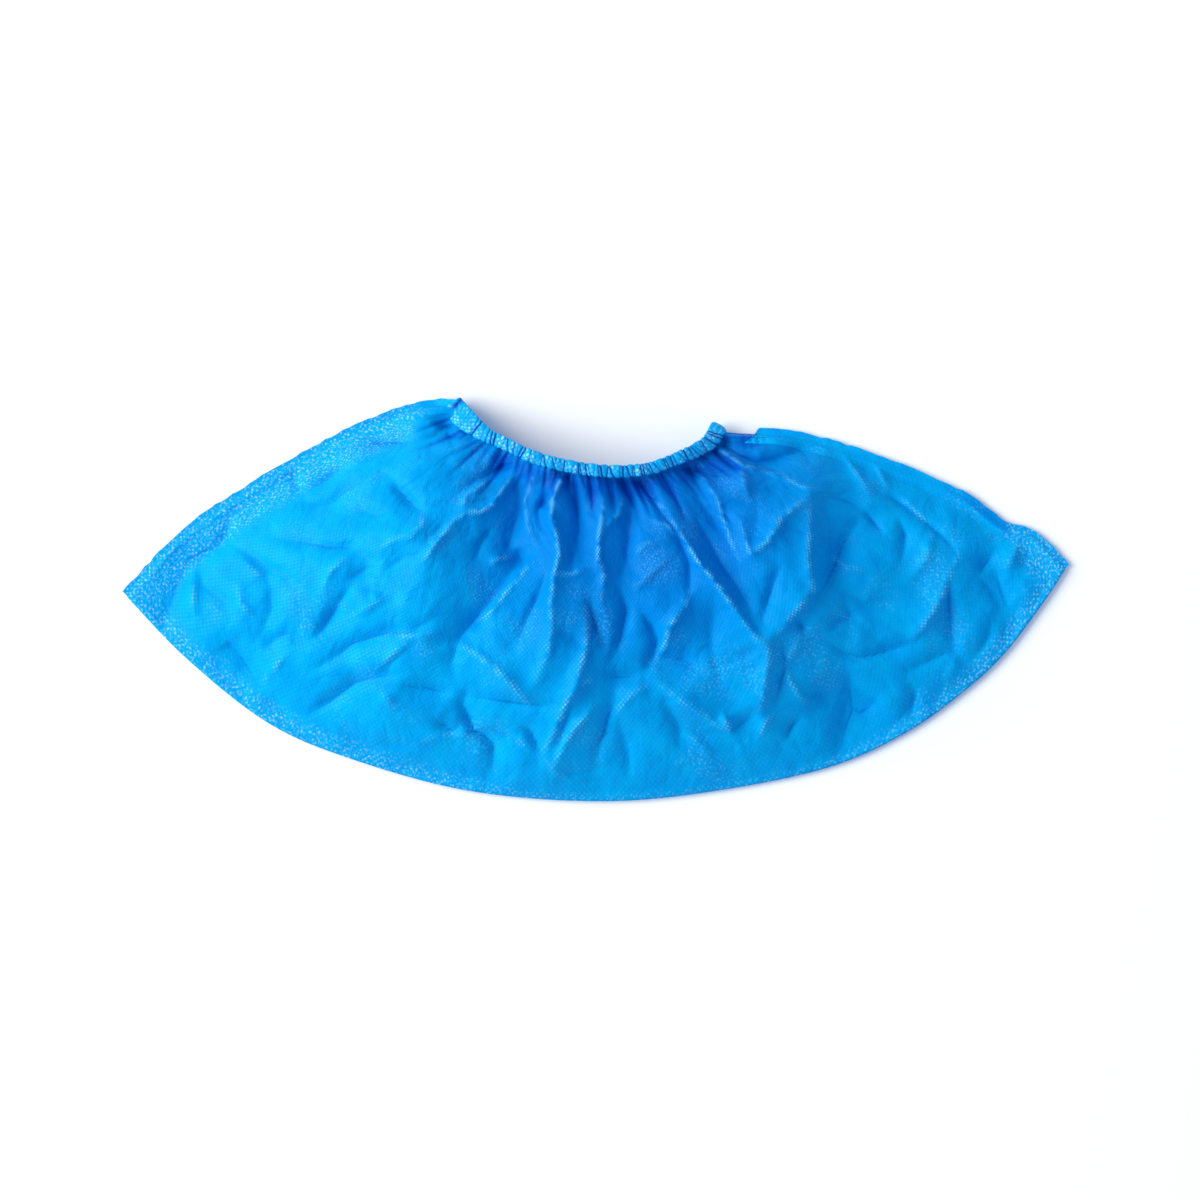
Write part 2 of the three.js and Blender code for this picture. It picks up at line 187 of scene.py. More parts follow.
@dataclass(frozen=True)
class PouchForm:
    """Sizes and plan of the slack pouch, as the frame has them.

    Lengths are in millimetres. Each table has a share in its first column, and in its second a share of the
    size that it follows.

    Attributes:
        laid_length: Toe tip to heel tip.
        toe_tip_up: Toe tip above the lowest point of the sole fold.
        heel_tip_up: Heel tip above the same point.
        toe_corner_up: Collar's corner at the toe end, above the same point.
        heel_corner_up: Collar's corner at the heel end.
        collar_span: Distance between the two corners.
        collar_offset: Middle of the collar from the middle of the length.
        collar_dip: How far the collar sags between its corners.
        puff: Thickness where the pouch stands fullest.
        mouth: Height of the open collar.
        corner_height: Height at each corner of the collar.
        edge_height: Height along the sole fold and the welded ends.
        collar_lift: Height of the far side's collar above the floor, on its own hem.
        hem_pleats: Broad pleats along each side of the collar.
        pleat_height: Crest to trough of a pleat.
        pleat_reach: Share of the side that the pleats run down.
        sheet_length: Length of the flat sheet along the sole fold.
        sheet_side: From the sole fold to the collar on the flat sheet.
        sole_fold: Share along, and height as a share of the nearer tip's.
        toe_edge: Share up the toe end, and bulge as a share of the end's length.
        heel_edge: The same for the heel end.
        collar_edge: Share along the collar, and sag.
        sections: Share along, and fullness.
        section: Share up, and fullness. At the collar the mouth gives the last row.
    """

    laid_length: float = 348.5
    toe_tip_up: float = 76.0
    heel_tip_up: float = 86.0
    toe_corner_up: float = 145.5
    heel_corner_up: float = 137.0
    collar_span: float = 95.0
    collar_offset: float = -3.0
    collar_dip: float = 20.0
    puff: float = 34.0
    mouth: float = 21.0
    corner_height: float = 5.0
    edge_height: float = 2.0
    collar_lift: float = 2.4
    hem_pleats: int = 13
    pleat_height: float = 0.5
    pleat_reach: float = 0.42
    sheet_length: float = 400.0
    sheet_side: float = 150.0

    sole_fold: Table = (
        (-0.5, 1.0), (-0.437, 0.7), (-0.352, 0.39), (-0.266, 0.215), (-0.138, 0.053), (0.0, 0.0),
        (0.117, 0.038), (0.245, 0.143), (0.33, 0.295), (0.394, 0.48), (0.437, 0.645), (0.479, 0.87),
        (0.5, 1.0),
    )
    toe_edge: Table = (
        (0.0, 0.0), (0.222, 0.066), (0.475, 0.086), (0.718, 0.084), (0.886, 0.061), (0.962, 0.033),
        (1.0, 0.0),
    )
    heel_edge: Table = (
        (0.0, 0.0), (0.116, 0.05), (0.2, 0.046), (0.33, 0.078), (0.56, 0.086), (0.79, 0.066),
        (0.9, 0.034), (1.0, 0.0),
    )
    collar_edge: Table = (
        (0.0, 0.0), (0.093, 0.44), (0.168, 0.62), (0.32, 0.89), (0.54, 1.0), (0.73, 0.88), (0.88, 0.54),
        (0.965, 0.26), (1.0, 0.0),
    )
    sections: Table = (
        (0.0, 0.0), (0.06, 0.3), (0.16, 0.62), (0.3, 0.9), (0.47, 1.0), (0.66, 0.93), (0.82, 0.68),
        (0.94, 0.32), (1.0, 0.0),
    )
    section: Table = ((0.0, 0.0), (0.1, 0.4), (0.25, 0.74), (0.5, 1.0), (0.78, 0.84))

    MARKS = 200  # points along the collar that stand for it
    CORNER_TOP = 0.75  # share up from which the ends rise to the collar's corners

    @cached_property
    def shift(self) -> np.ndarray:
        """From the outline's own origin to the frame's: the frame says where the sheet lies."""
        low = np.array(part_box("upper")[0]) / MM
        return np.array([low[0] + self.laid_length / 2, low[1] - self.fold_low])

    @cached_property
    def fold_knots(self) -> np.ndarray:
        """Points of the sole fold, before the shift."""
        tips = (self.toe_tip_up, self.heel_tip_up)
        return np.array([(along * self.laid_length, up * tips[along >= 0]) for along, up in self.sole_fold])

    @cached_property
    def fold_low(self) -> float:
        """Lowest point of the sole fold in plan, before the shift."""
        return float(Spline(self.fold_knots).points[:, 1].min())

    @cached_property
    def corners(self) -> dict[str, np.ndarray]:
        """The sheet's four corners as it lies, before the shift."""
        half = self.collar_span / 2
        return {
            "toe_tip": np.array([-self.laid_length / 2, self.toe_tip_up]),
            "heel_tip": np.array([self.laid_length / 2, self.heel_tip_up]),
            "toe_corner": np.array([self.collar_offset - half, self.toe_corner_up]),
            "heel_corner": np.array([self.collar_offset + half, self.heel_corner_up]),
        }

    @cached_property
    def fold(self) -> Spline:
        """The sole fold."""
        return Spline(self.fold_knots + self.shift)

    def welded(self, tip: str, corner: str, rows: Table, side: float) -> Spline:
        """A welded end, bulging out of the straight line from tip to corner.

        Args:
            tip: Name of the corner where it leaves the sole fold.
            corner: Name of the collar's corner.
            rows: Table of share and bulge.
            side: 1 where out is to the left of the line, and -1 to its right.

        Returns:
            The end's curve.
        """
        start = self.corners[tip]
        line = self.corners[corner] - start
        out = turned(line) * side
        return Spline(np.array([start + line * at + out * bulge for at, bulge in rows]) + self.shift)

    @cached_property
    def toe(self) -> Spline:
        """The toe end's weld line."""
        return self.welded("toe_tip", "toe_corner", self.toe_edge, 1.0)

    @cached_property
    def heel(self) -> Spline:
        """The heel end's weld line."""
        return self.welded("heel_tip", "heel_corner", self.heel_edge, -1.0)

    @cached_property
    def collar(self) -> Spline:
        """The collar from its toe corner to its heel corner.

        Returns:
            The collar's curve.
        """
        start, end = self.corners["toe_corner"], self.corners["heel_corner"]
        dips = [start + (end - start) * at - (0.0, dip * self.collar_dip) for at, dip in self.collar_edge]
        return Spline(np.array(dips) + self.shift)

    @cached_property
    def collar_marks(self) -> np.ndarray:
        """Points spread evenly along the collar."""
        return self.collar.at(np.linspace(0, 1, self.MARKS))

    def plan(self, along: np.ndarray, up: np.ndarray) -> np.ndarray:
        """Where points of the flat sheet lie in plan.

        Args:
            along: Shares from toe to heel.
            up: Shares from fold to collar.

        Returns:
            Points in plan, in millimetres.
        """
        a, u = along[:, None], up[:, None]
        place = self.fold.at(along) * (1 - u) + self.collar.at(along) * u
        place += self.toe.at(up) * (1 - a) + self.heel.at(up) * a
        corner = {name: point + self.shift for name, point in self.corners.items()}
        place -= corner["toe_tip"] * (1 - a) * (1 - u) + corner["heel_tip"] * a * (1 - u)
        return place - corner["toe_corner"] * (1 - a) * u - corner["heel_corner"] * a * u

    def pleats(self, along: np.ndarray, up: np.ndarray) -> np.ndarray:
        """Height of the broad pleats, which fade down the side and towards the two ends."""
        fade = ease(up, 1 - self.pleat_reach, 1) ** 2 * np.sqrt(np.clip(np.sin(np.pi * along), 0, 1))
        return self.pleat_height / 2 * fade * np.cos(2 * np.pi * self.hem_pleats * along)

    def far_height(self, along: np.ndarray, up: np.ndarray) -> np.ndarray:
        """Height of the far side above the floor: flat, and lifted along the collar on its hem."""
        return self.collar_lift * ease(up, 1 - self.pleat_reach, 1) + self.pleats(along, up) / 2

    def thickness(self, along: np.ndarray, up: np.ndarray) -> np.ndarray:
        """Height of the near side above the far side, without its creases.

        Args:
            along: Shares along.
            up: Shares up.

        Returns:
            Heights in millimetres.
        """
        edge = self.edge_height + (self.corner_height - self.edge_height) * ease(up, self.CORNER_TOP, 1)
        section = (*self.section, (1.0, self.mouth / self.puff))
        fullness = between(self.sections, along) * between(section, up)
        return edge + (self.puff - edge) * np.maximum(fullness, 0)

    def near_height(self, along: np.ndarray, up: np.ndarray) -> np.ndarray:
        """Height of the near side above the floor, without its creases."""
        return self.far_height(along, up) + self.thickness(along, up) + self.pleats(along, up)


class Fold(Enum):
    """Which way a crease goes."""

    RIDGE = 1
    TROUGH = -1


@dataclass(frozen=True)
class Crease:
    """One soft crease, placed along a given route in plan.

    Attributes:
        fold: Ridge or trough.
        height: Crest to flank, in millimetres.
        width: How far it takes to fall to a third, in millimetres.
        route: Points in plan, in millimetres.
    """

    fold: Fold
    height: float
    width: float
    route: tuple[Pair, ...]

    ROUND = 0.3  # millimetres over which the crest itself is rounded
    START = 0.1  # how far it has risen at its two ends, as a share of a half wave
    FULLEST = 0.5  # share of a half wave at which it is fullest
    NARROW = 0.72  # width of the steep flank, as a share of the width
    FLANK = 3.4  # width of the gentle flank, in widths of the steep one
    FLANK_SHARE = 0.42  # share of the height that the gentle flank takes
    HELD = 8.0  # millimetres from the collar within which it starts full
    LINE = 0.85  # reach of the painted line along the fold, in millimetres
    LINE_HEIGHT = 1.6  # height from which that line has its full strength

    def measure(self, places: np.ndarray) -> tuple[np.ndarray, np.ndarray]:
        """Distances to the route, and the shares of its length where they are met.

        Args:
            places: Points in plan.

        Returns:
            Distances in millimetres, and shares.
        """
        knots = np.array(self.route, float)
        lengths = np.linalg.norm(np.diff(knots, axis=0), axis=1)
        reach = np.concatenate([[0.0], np.cumsum(lengths)]) / lengths.sum()
        nearest = np.full(len(places), np.inf)
        share = np.zeros(len(places))
        for i, length in enumerate(lengths):
            way = (knots[i + 1] - knots[i]) / length
            from_start = places - knots[i]
            passed = np.clip(from_start @ way, 0, length)
            away = np.linalg.norm(from_start - passed[:, None] * way, axis=1)
            closer = away < nearest
            nearest = np.where(closer, away, nearest)
            share = np.where(closer, reach[i] + passed / length * (reach[i + 1] - reach[i]), share)
        return nearest, share

    def relief(self, places: np.ndarray, collar: np.ndarray) -> np.ndarray:
        """Height that the crease adds at each place.

        Args:
            places: Points in plan.
            collar: Points along the collar.

        Returns:
            Heights in millimetres.
        """
        away, share = self.measure(places)
        swell = self.swell(share, collar)
        off = (np.hypot(away, self.ROUND) - self.ROUND) / (self.width * self.NARROW)
        fall = (1 - self.FLANK_SHARE) * np.exp(-off) + self.FLANK_SHARE * np.exp(-off / self.FLANK)
        return self.fold.value * self.height * fall * swell

    def swell(self, share: np.ndarray, collar: np.ndarray) -> np.ndarray:
        """How full the crease is along its route. One that starts near the collar is full there.

        Args:
            share: Shares of the route.
            collar: Points along the collar.

        Returns:
            Fullness from 0 to 1.
        """
        held = np.linalg.norm(collar - np.array(self.route[0]), axis=1).min() < self.HELD
        begin = self.FULLEST if held else self.START
        return np.sin(np.pi * (begin + (1 - self.START - begin) * share))

    def line(self, places: np.ndarray, collar: np.ndarray) -> np.ndarray:
        """Strength of the painted line along the fold: highlight on a ridge, shade in a trough.

        Args:
            places: Points in plan.
            collar: Points along the collar.

        Returns:
            Strengths from 0 to 1.
        """
        away, share = self.measure(places)
        strength = min(self.height / self.LINE_HEIGHT, 1.0)
        return np.exp(-((away / self.LINE) ** 2)) * self.swell(share, collar) * strength


def ridge(height: float, width: float, *route: Pair) -> Crease:
    """A crease that stands up."""
    return Crease(Fold.RIDGE, height, width, route)


def trough(height: float, width: float, *route: Pair) -> Crease:
    """A crease that goes in."""
    return Crease(Fold.TROUGH, height, width, route)


@dataclass(frozen=True)
class Swell:
    """A broad rise or hollow of the near side.

    Attributes:
        middle: Its middle in plan, in millimetres.
        height: Height at the middle.
        reach: How far it takes to fade along X and along Y.
    """

    middle: Pair
    height: float
    reach: Pair

    def relief(self, places: np.ndarray) -> np.ndarray:
        """Height that it adds at each place."""
        away = (places - np.array(self.middle)) / np.array(self.reach)
        return self.height * np.exp(-(away**2).sum(axis=1))


SWELLS: tuple[Swell, ...] = (
    Swell((-82.0, 4.0), 7.0, (44.0, 60.0)),
    Swell((-36.0, 26.0), -6.0, (22.0, 36.0)),
    Swell((-4.0, 12.0), -3.5, (24.0, 40.0)),
    Swell((36.0, 0.0), -3.0, (26.0, 60.0)),
    Swell((66.0, 6.0), 3.0, (20.0, 44.0)),
    Swell((116.0, 6.0), -3.4, (30.0, 40.0)),
    Swell((90.0, -38.0), -2.5, (12.0, 10.0)),
)

# Creases of the near side, from the toe end to the heel end, and then its fine wrinkles
CREASES: tuple[Crease, ...] = (
    # Toe end: the sealed band's inner crease, and the folds beside it
    trough(2.6, 2.4, (-161, -10), (-158, 0), (-155, 9), (-152, 15), (-146, 18), (-140, 20), (-137, 25),
          (-136, 30)),
    ridge(1.0, 3.0, (-150, 13), (-149, 4), (-148, -7)),
    trough(0.8, 3.0, (-146, 14), (-146, 6), (-137, 0), (-128, -7)),
    trough(1.2, 3.5, (-137, 22), (-127, 16), (-120, 12), (-115, 10), (-112, 7), (-107, 4)),
    ridge(0.8, 2.5, (-131, 16), (-125, 10), (-122, 8)),
    trough(1.0, 3.0, (-121, 12), (-119, 4), (-119, -4), (-122, -11)),
    trough(1.2, 3.0, (-122, -18), (-117, -14), (-113, -12), (-108, -14), (-104, -15)),
    ridge(0.9, 2.5, (-114, -20), (-118, -25), (-123, -30)),
    trough(1.5, 6.0, (-136, -15), (-131, -22), (-127, -29), (-122, -35)),
    trough(0.7, 3.0, (-123, -36), (-117, -40), (-111, -43)),
    trough(0.7, 3.0, (-79, -52), (-71, -54), (-65, -55)),
    # Toe half of the side, from the collar's corner down to the sole
    trough(1.6, 3.5, (-117, 23), (-108, 21), (-97, 19), (-89, 19), (-84, 16), (-80, 14)),
    trough(1.8, 3.0, (-86, 57), (-80, 58), (-72, 58), (-67, 58)),
    trough(0.9, 2.5, (-67, 58), (-63, 59), (-58, 61), (-49, 60)),
    trough(1.1, 3.0, (-106, 41), (-100, 44), (-95, 48), (-91, 51)),
    trough(0.6, 2.5, (-81, 47), (-78, 46), (-72, 45)),
    trough(1.2, 3.0, (-110, 37), (-102, 35), (-97, 36), (-92, 40), (-86, 43), (-83, 45)),
    trough(1.0, 3.0, (-93, 34), (-86, 33), (-80, 31), (-74, 32)),
    trough(1.7, 3.0, (-74, 44), (-72, 40), (-69, 37), (-65, 33), (-61, 31)),
    ridge(1.3, 5.0, (-78, 19), (-73, 22), (-67, 23), (-63, 27), (-63, 32)),
    trough(1.0, 2.5, (-90, 8), (-86, 9), (-83, 11), (-79, 10)),
    ridge(0.9, 2.0, (-91, 15), (-96, 11), (-99, 5), (-99, 3)),
    trough(1.0, 4.0, (-78, 10), (-74, 12), (-70, 15), (-64, 16)),
    trough(0.9, 3.0, (-86, 5), (-80, 4), (-74, 1), (-69, -1)),
    trough(1.8, 3.0, (-89, 5), (-92, 1), (-96, -5), (-100, -11), (-104, -15)),
    trough(1.0, 2.5, (-91, -1), (-89, -4), (-85, -7)),
    trough(2.0, 4.0, (-102, -25), (-94, -20), (-89, -16), (-83, -14), (-76, -12), (-68, -12), (-64, -10),
          (-59, -7)),
    ridge(1.1, 2.5, (-76, -13), (-69, -13), (-64, -13), (-57, -12)),
    ridge(1.0, 2.5, (-69, -16), (-73, -19), (-78, -24)),
    trough(0.8, 2.0, (-69, -19), (-74, -22), (-78, -26)),
    trough(1.8, 3.5, (-106, -42), (-99, -38), (-92, -33), (-88, -30), (-80, -28), (-71, -27)),
    ridge(0.9, 2.0, (-78, -34), (-74, -38)),
    trough(1.5, 3.5, (-72, -31), (-64, -32), (-58, -33), (-52, -34)),
    trough(1.5, 3.0, (-59, -44), (-53, -48), (-49, -46)),
    ridge(0.7, 3.0, (-65, -53), (-60, -50), (-53, -49), (-46, -50), (-40, -53)),
    # Under the collar's toe corner
    trough(2.2, 2.5, (-58, 62), (-56, 64), (-51, 64)),
    trough(2.0, 3.0, (-34, 49), (-39, 46), (-43, 44), (-47, 41), (-49, 39)),
    ridge(1.2, 2.5, (-38, 44), (-43, 41), (-47, 38), (-49, 32)),
    ridge(1.6, 3.0, (-31, 44), (-34, 40), (-36, 37), (-38, 34), (-42, 32), (-46, 32), (-51, 29)),
    ridge(1.3, 2.5, (-51, 29), (-54, 25), (-58, 20), (-62, 14)),
    trough(0.8, 2.0, (-54, 29), (-57, 25), (-61, 22)),
    # Middle: the long folds that fan out of the collar
    trough(2.8, 6.5, (-27, 16), (-32, 8), (-38, 0), (-45, -8), (-50, -14), (-52, -22), (-51, -30)),
    ridge(1.4, 2.5, (-23, 14), (-28, 8), (-33, 2), (-39, -5), (-45, -11)),
    trough(1.0, 2.0, (-39, -5), (-43, -9), (-45, -12)),
    ridge(1.7, 3.0, (-49, -16), (-43, -20), (-36, -25), (-30, -31), (-24, -38)),
    trough(2.4, 3.0, (-47, -34), (-49, -38), (-47, -43), (-45, -48), (-41, -50), (-38, -53), (-38, -61)),
    trough(1.5, 3.5, (-47, -35), (-38, -36), (-26, -38), (-12, -38)),
    trough(1.2, 2.5, (-39, -48), (-34, -49), (-29, -52), (-24, -55)),
    ridge(0.8, 2.0, (-33, -48), (-28, -52), (-22, -55)),
    trough(3.0, 8.0, (-30, 45), (-28, 39), (-28, 33), (-30, 27), (-32, 20), (-35, 14)),
    trough(1.2, 2.5, (-29, 19), (-27, 14), (-25, 12)),
    ridge(1.2, 2.5, (-38, 13), (-35, 15), (-31, 16)),
    ridge(2.6, 5.0, (-13, 43), (-16, 36), (-16, 29), (-14, 22), (-13, 17), (-15, 10), (-16, 0),
          (-16, -11), (-18, -21), (-22, -30)),
    trough(1.6, 2.5, (-20, 33), (-18, 36), (-16, 38)),
    trough(2.4, 4.5, (-10, 45), (-9, 39), (-7, 33), (-6, 26), (-7, 18), (-9, 13)),
    ridge(1.6, 3.5, (3, 36), (2, 29), (1, 22), (1, 14), (3, 9), (2, 0)),
    trough(1.3, 2.5, (-4, 1), (-2, -4), (0, -11), (3, -16), (-1, -19)),
    trough(2.0, 3.0, (9, 4), (11, -4), (9, -14), (6, -21)),
    trough(2.2, 5.0, (13, 37), (12, 24), (11, 14), (9, 8)),
    trough(2.2, 3.5, (17, -5), (20, -9), (22, -15), (21, -20), (18, -25)),
    ridge(2.0, 5.0, (34, 3), (32, -2), (27, -9), (25, -16), (22, -22)),
    trough(1.5, 4.0, (21, -22), (27, -21), (32, -22), (38, -26)),
    ridge(2.2, 5.0, (-4, 0), (-3, -9), (-3, -16), (-5, -23), (-8, -33), (-11, -38)),
    trough(1.2, 3.0, (-2, 0), (-1, -9), (-2, -16), (-1, -22)),
    ridge(1.6, 4.0, (-2, -29), (-6, -31), (-10, -36), (-13, -43), (-16, -50), (-19, -55)),
    trough(1.5, 4.0, (-8, -36), (-11, -44), (-14, -53), (-16, -58)),
    ridge(1.4, 2.5, (-1, -38), (-4, -43), (-8, -47), (-11, -52), (-14, -58), (-15, -61)),
    trough(1.5, 2.5, (-29, -46), (-24, -48), (-22, -53), (-20, -58)),
    ridge(0.8, 3.0, (-20, -58), (-16, -62), (-12, -65)),
    trough(0.9, 3.0, (-15, -63), (-8, -64), (-1, -63), (4, -61)),
    trough(1.8, 3.0, (7, -32), (6, -38), (4, -44), (3, -49), (1, -53), (0, -60)),
    trough(1.1, 2.2, (9, -44), (10, -49), (11, -54), (12, -59), (12, -65)),
    trough(1.3, 3.0, (3, -27), (8, -28), (16, -28)),
    ridge(1.0, 5.0, (18, -31), (12, -35), (7, -41)),
    ridge(1.2, 4.0, (23, -30), (30, -36), (40, -42), (46, -47)),
    # The long diagonal folds from the collar towards the heel
    trough(1.5, 1.8, (9, 44), (12, 39), (15, 34)),
    trough(2.0, 2.0, (16, 43), (20, 38), (24, 32), (28, 27), (31, 21), (34, 14), (34, 4)),
    ridge(2.0, 3.0, (20, 39), (26, 31), (32, 22), (37, 14), (42, 8), (46, 3), (50, -3), (56, -11), (60, -16)),
    trough(1.8, 4.0, (37, 29), (42, 20), (46, 12), (51, 5), (55, -2), (58, -9)),
    trough(1.8, 3.0, (34, 48), (37, 43), (42, 36)),
    trough(2.2, 6.5, (36, 39), (41, 32), (46, 24), (50, 15), (53, 6)),
    trough(1.0, 2.0, (44, 33), (47, 31), (50, 28)),
    ridge(2.2, 5.0, (58, -14), (62, -16), (63, -20), (62, -27), (61, -34), (60, -40)),
    trough(2.8, 8.0, (67, -14), (69, -24), (67, -33), (65, -40)),
    trough(1.1, 2.5, (49, -48), (54, -45), (59, -41)),
    ridge(1.4, 2.0, (46, -42), (48, -45), (49, -48)),
    # Under the collar's heel corner
    trough(2.4, 3.5, (47, 57), (54, 53), (60, 51), (67, 52), (74, 55), (82, 57)),
    ridge(1.4, 3.0, (46, 55), (51, 52), (54, 49), (61, 48), (69, 45), (77, 41), (84, 39)),
    trough(1.0, 2.0, (53, 50), (60, 49), (66, 48), (69, 45)),
    trough(1.4, 2.5, (37, 48), (44, 46), (48, 46), (53, 48)),
    ridge(0.8, 2.5, (53, 48), (54, 43), (56, 37)),
    # Heel half of the side
    ridge(1.5, 3.0, (53, 28), (54, 22), (56, 17), (62, 21), (67, 29), (74, 35), (78, 38)),
    ridge(2.2, 5.0, (78, 37), (78, 25), (77, 15), (79, 4), (75, -1), (70, -7), (66, -12)),
    trough(1.0, 9.0, (84, 36), (86, 25), (86, 15), (82, 4)),
    trough(1.2, 6.0, (83, 38), (91, 37), (99, 33)),
    trough(3.2, 6.5, (98, 31), (93, 24), (90, 18), (88, 13), (85, 7), (81, 1), (77, -4)),
    trough(1.5, 3.0, (99, 33), (103, 28), (106, 24)),
    trough(1.5, 2.5, (66, 11), (64, 5), (62, -1), (60, -8)),
    trough(1.0, 2.5, (87, 4), (92, 2), (99, -1), (111, -1)),
    trough(0.8, 2.0, (91, -1), (93, -5), (97, -9)),
    trough(1.4, 2.5, (72, -7), (75, -10), (77, -12)),
    ridge(1.2, 2.2, (73, -16), (70, -22), (69, -25), (71, -30), (74, -34), (77, -37)),
    trough(1.3, 2.0, (75, -43), (72, -47), (70, -51)),
    ridge(1.0, 2.0, (65, -42), (62, -45), (60, -50)),
    trough(3.0, 8.0, (93, -25), (94, -33), (95, -41), (92, -49), (91, -57)),
    trough(2.4, 5.0, (92, -38), (98, -42), (102, -39), (104, -36)),
    trough(1.0, 5.0, (78, -33), (83, -36), (88, -38)),
    trough(1.4, 2.5, (84, -15), (90, -19), (97, -21), (103, -20), (113, -17), (119, -15)),
    trough(1.1, 2.5, (84, -12), (89, -8), (95, -7)),
    trough(0.8, 1.8, (97, -55), (99, -51), (103, -49), (107, -47)),
    # Heel end
    trough(1.5, 2.5, (119, 44), (124, 42), (129, 40), (136, 37)),
    trough(1.4, 3.0, (112, 30), (114, 24), (113, 15)),
    trough(1.6, 2.5, (105, 40), (111, 37), (118, 32), (125, 26), (130, 22), (133, 18)),
    ridge(0.9, 2.0, (114, 37), (119, 32), (125, 26)),
    ridge(2.2, 5.0, (134, 16), (131, 10), (129, 4), (125, -3), (120, -10), (116, -15)),
    trough(1.8, 4.0, (132, 13), (130, 4), (131, -5), (132, -15), (133, -19)),
    trough(1.2, 3.0, (115, -26), (122, -23), (128, -20), (133, -19), (136, -23)),
    trough(1.7, 2.2, (148, 17), (145, 14), (142, 10)),
    trough(1.8, 3.0, (148, 12), (150, 4), (152, -2), (156, -5)),
    trough(2.0, 2.5, (156, -5), (154, -9), (154, -16)),
    ridge(1.2, 3.0, (157, 22), (155, 17), (152, 12)),
    trough(1.5, 3.0, (162, 23), (160, 18), (158, 12)),
    trough(1.3, 2.5, (116, -31), (118, -35), (117, -41), (119, -45)),
    trough(1.0, 2.0, (168, 3), (165, 0)),
    trough(1.8, 2.0, (124, 43.5), (133, 40.5), (141, 37.5), (148, 32), (154, 26)),
    # Fine wrinkles of the middle
    ridge(0.8, 1.6, (-23, 44), (-26, 36), (-25, 28), (-22, 20)),
    trough(0.9, 1.6, (-16, 40), (-21, 33), (-20, 28), (-15, 21)),
    ridge(0.7, 1.5, (-15, 10), (-9, 9), (-3, 12)),
    trough(1.2, 2.0, (-17, 12), (-20, 3), (-25, -7), (-28, -15)),
    trough(0.8, 1.6, (-14, -12), (-8, -14), (-3, -18)),
    ridge(0.6, 1.5, (13, 14), (17, 20), (23, 22)),
    ridge(0.6, 1.5, (14, 4), (20, 10), (26, 15)),
    ridge(0.7, 1.6, (21, 29), (26, 27), (31, 23)),
    ridge(1.0, 1.8, (39, 46), (45, 35), (48, 24), (52, 14)),
    trough(1.1, 4.5, (43, -1), (42, -10), (42, -18), (45, -27)),
    trough(0.8, 1.8, (26, -39), (30, -46), (31, -53)),
    ridge(0.8, 1.8, (34, -50), (39, -53), (42, -58)),
    ridge(0.7, 1.6, (4, 27), (8, 30), (10, 36)),
    trough(0.9, 1.6, (-38, 26), (-42, 20), (-44, 14)),
    # Fine wrinkles of the two ends
    trough(1.2, 1.8, (-113, 50), (-111, 42), (-108, 39)),
    ridge(0.8, 1.8, (-94, -1), (-87, -5), (-82, -2), (-76, 1)),
    ridge(0.7, 1.6, (92, 54), (97, 46), (101, 40)),
    ridge(0.7, 1.6, (104, 50), (108, 42)),
    ridge(0.8, 2.0, (117, 9), (122, 16), (124, 24)),
    ridge(0.7, 1.6, (87, 16), (92, 12), (99, 11)),
    trough(0.8, 1.8, (140, -22), (145, -15), (147, -8)),
    ridge(0.8, 1.8, (-132, 6), (-130, -2), (-126, -6)),
    trough(0.9, 1.8, (142, 9), (150, 0), (155, -4)),
)

# Tight gathers between the hem's heel corner and the heel's step
CORNER_TICKS: tuple[Crease, ...] = (
    trough(1.5, 1.1, (46, 65), (47, 57)),
    trough(1.7, 1.1, (48.6, 64.6), (49.8, 56)),
    trough(1.4, 1.1, (51.2, 64.2), (52.6, 55.5)),
    trough(1.7, 1.1, (53.8, 63.8), (55.4, 55)),
    trough(1.4, 1.1, (56.4, 63.4), (58, 55.2)),
    trough(1.5, 1.1, (59, 63), (60.6, 55.8)),
    trough(1.2, 1.1, (61.6, 62.6), (63, 57)),
)


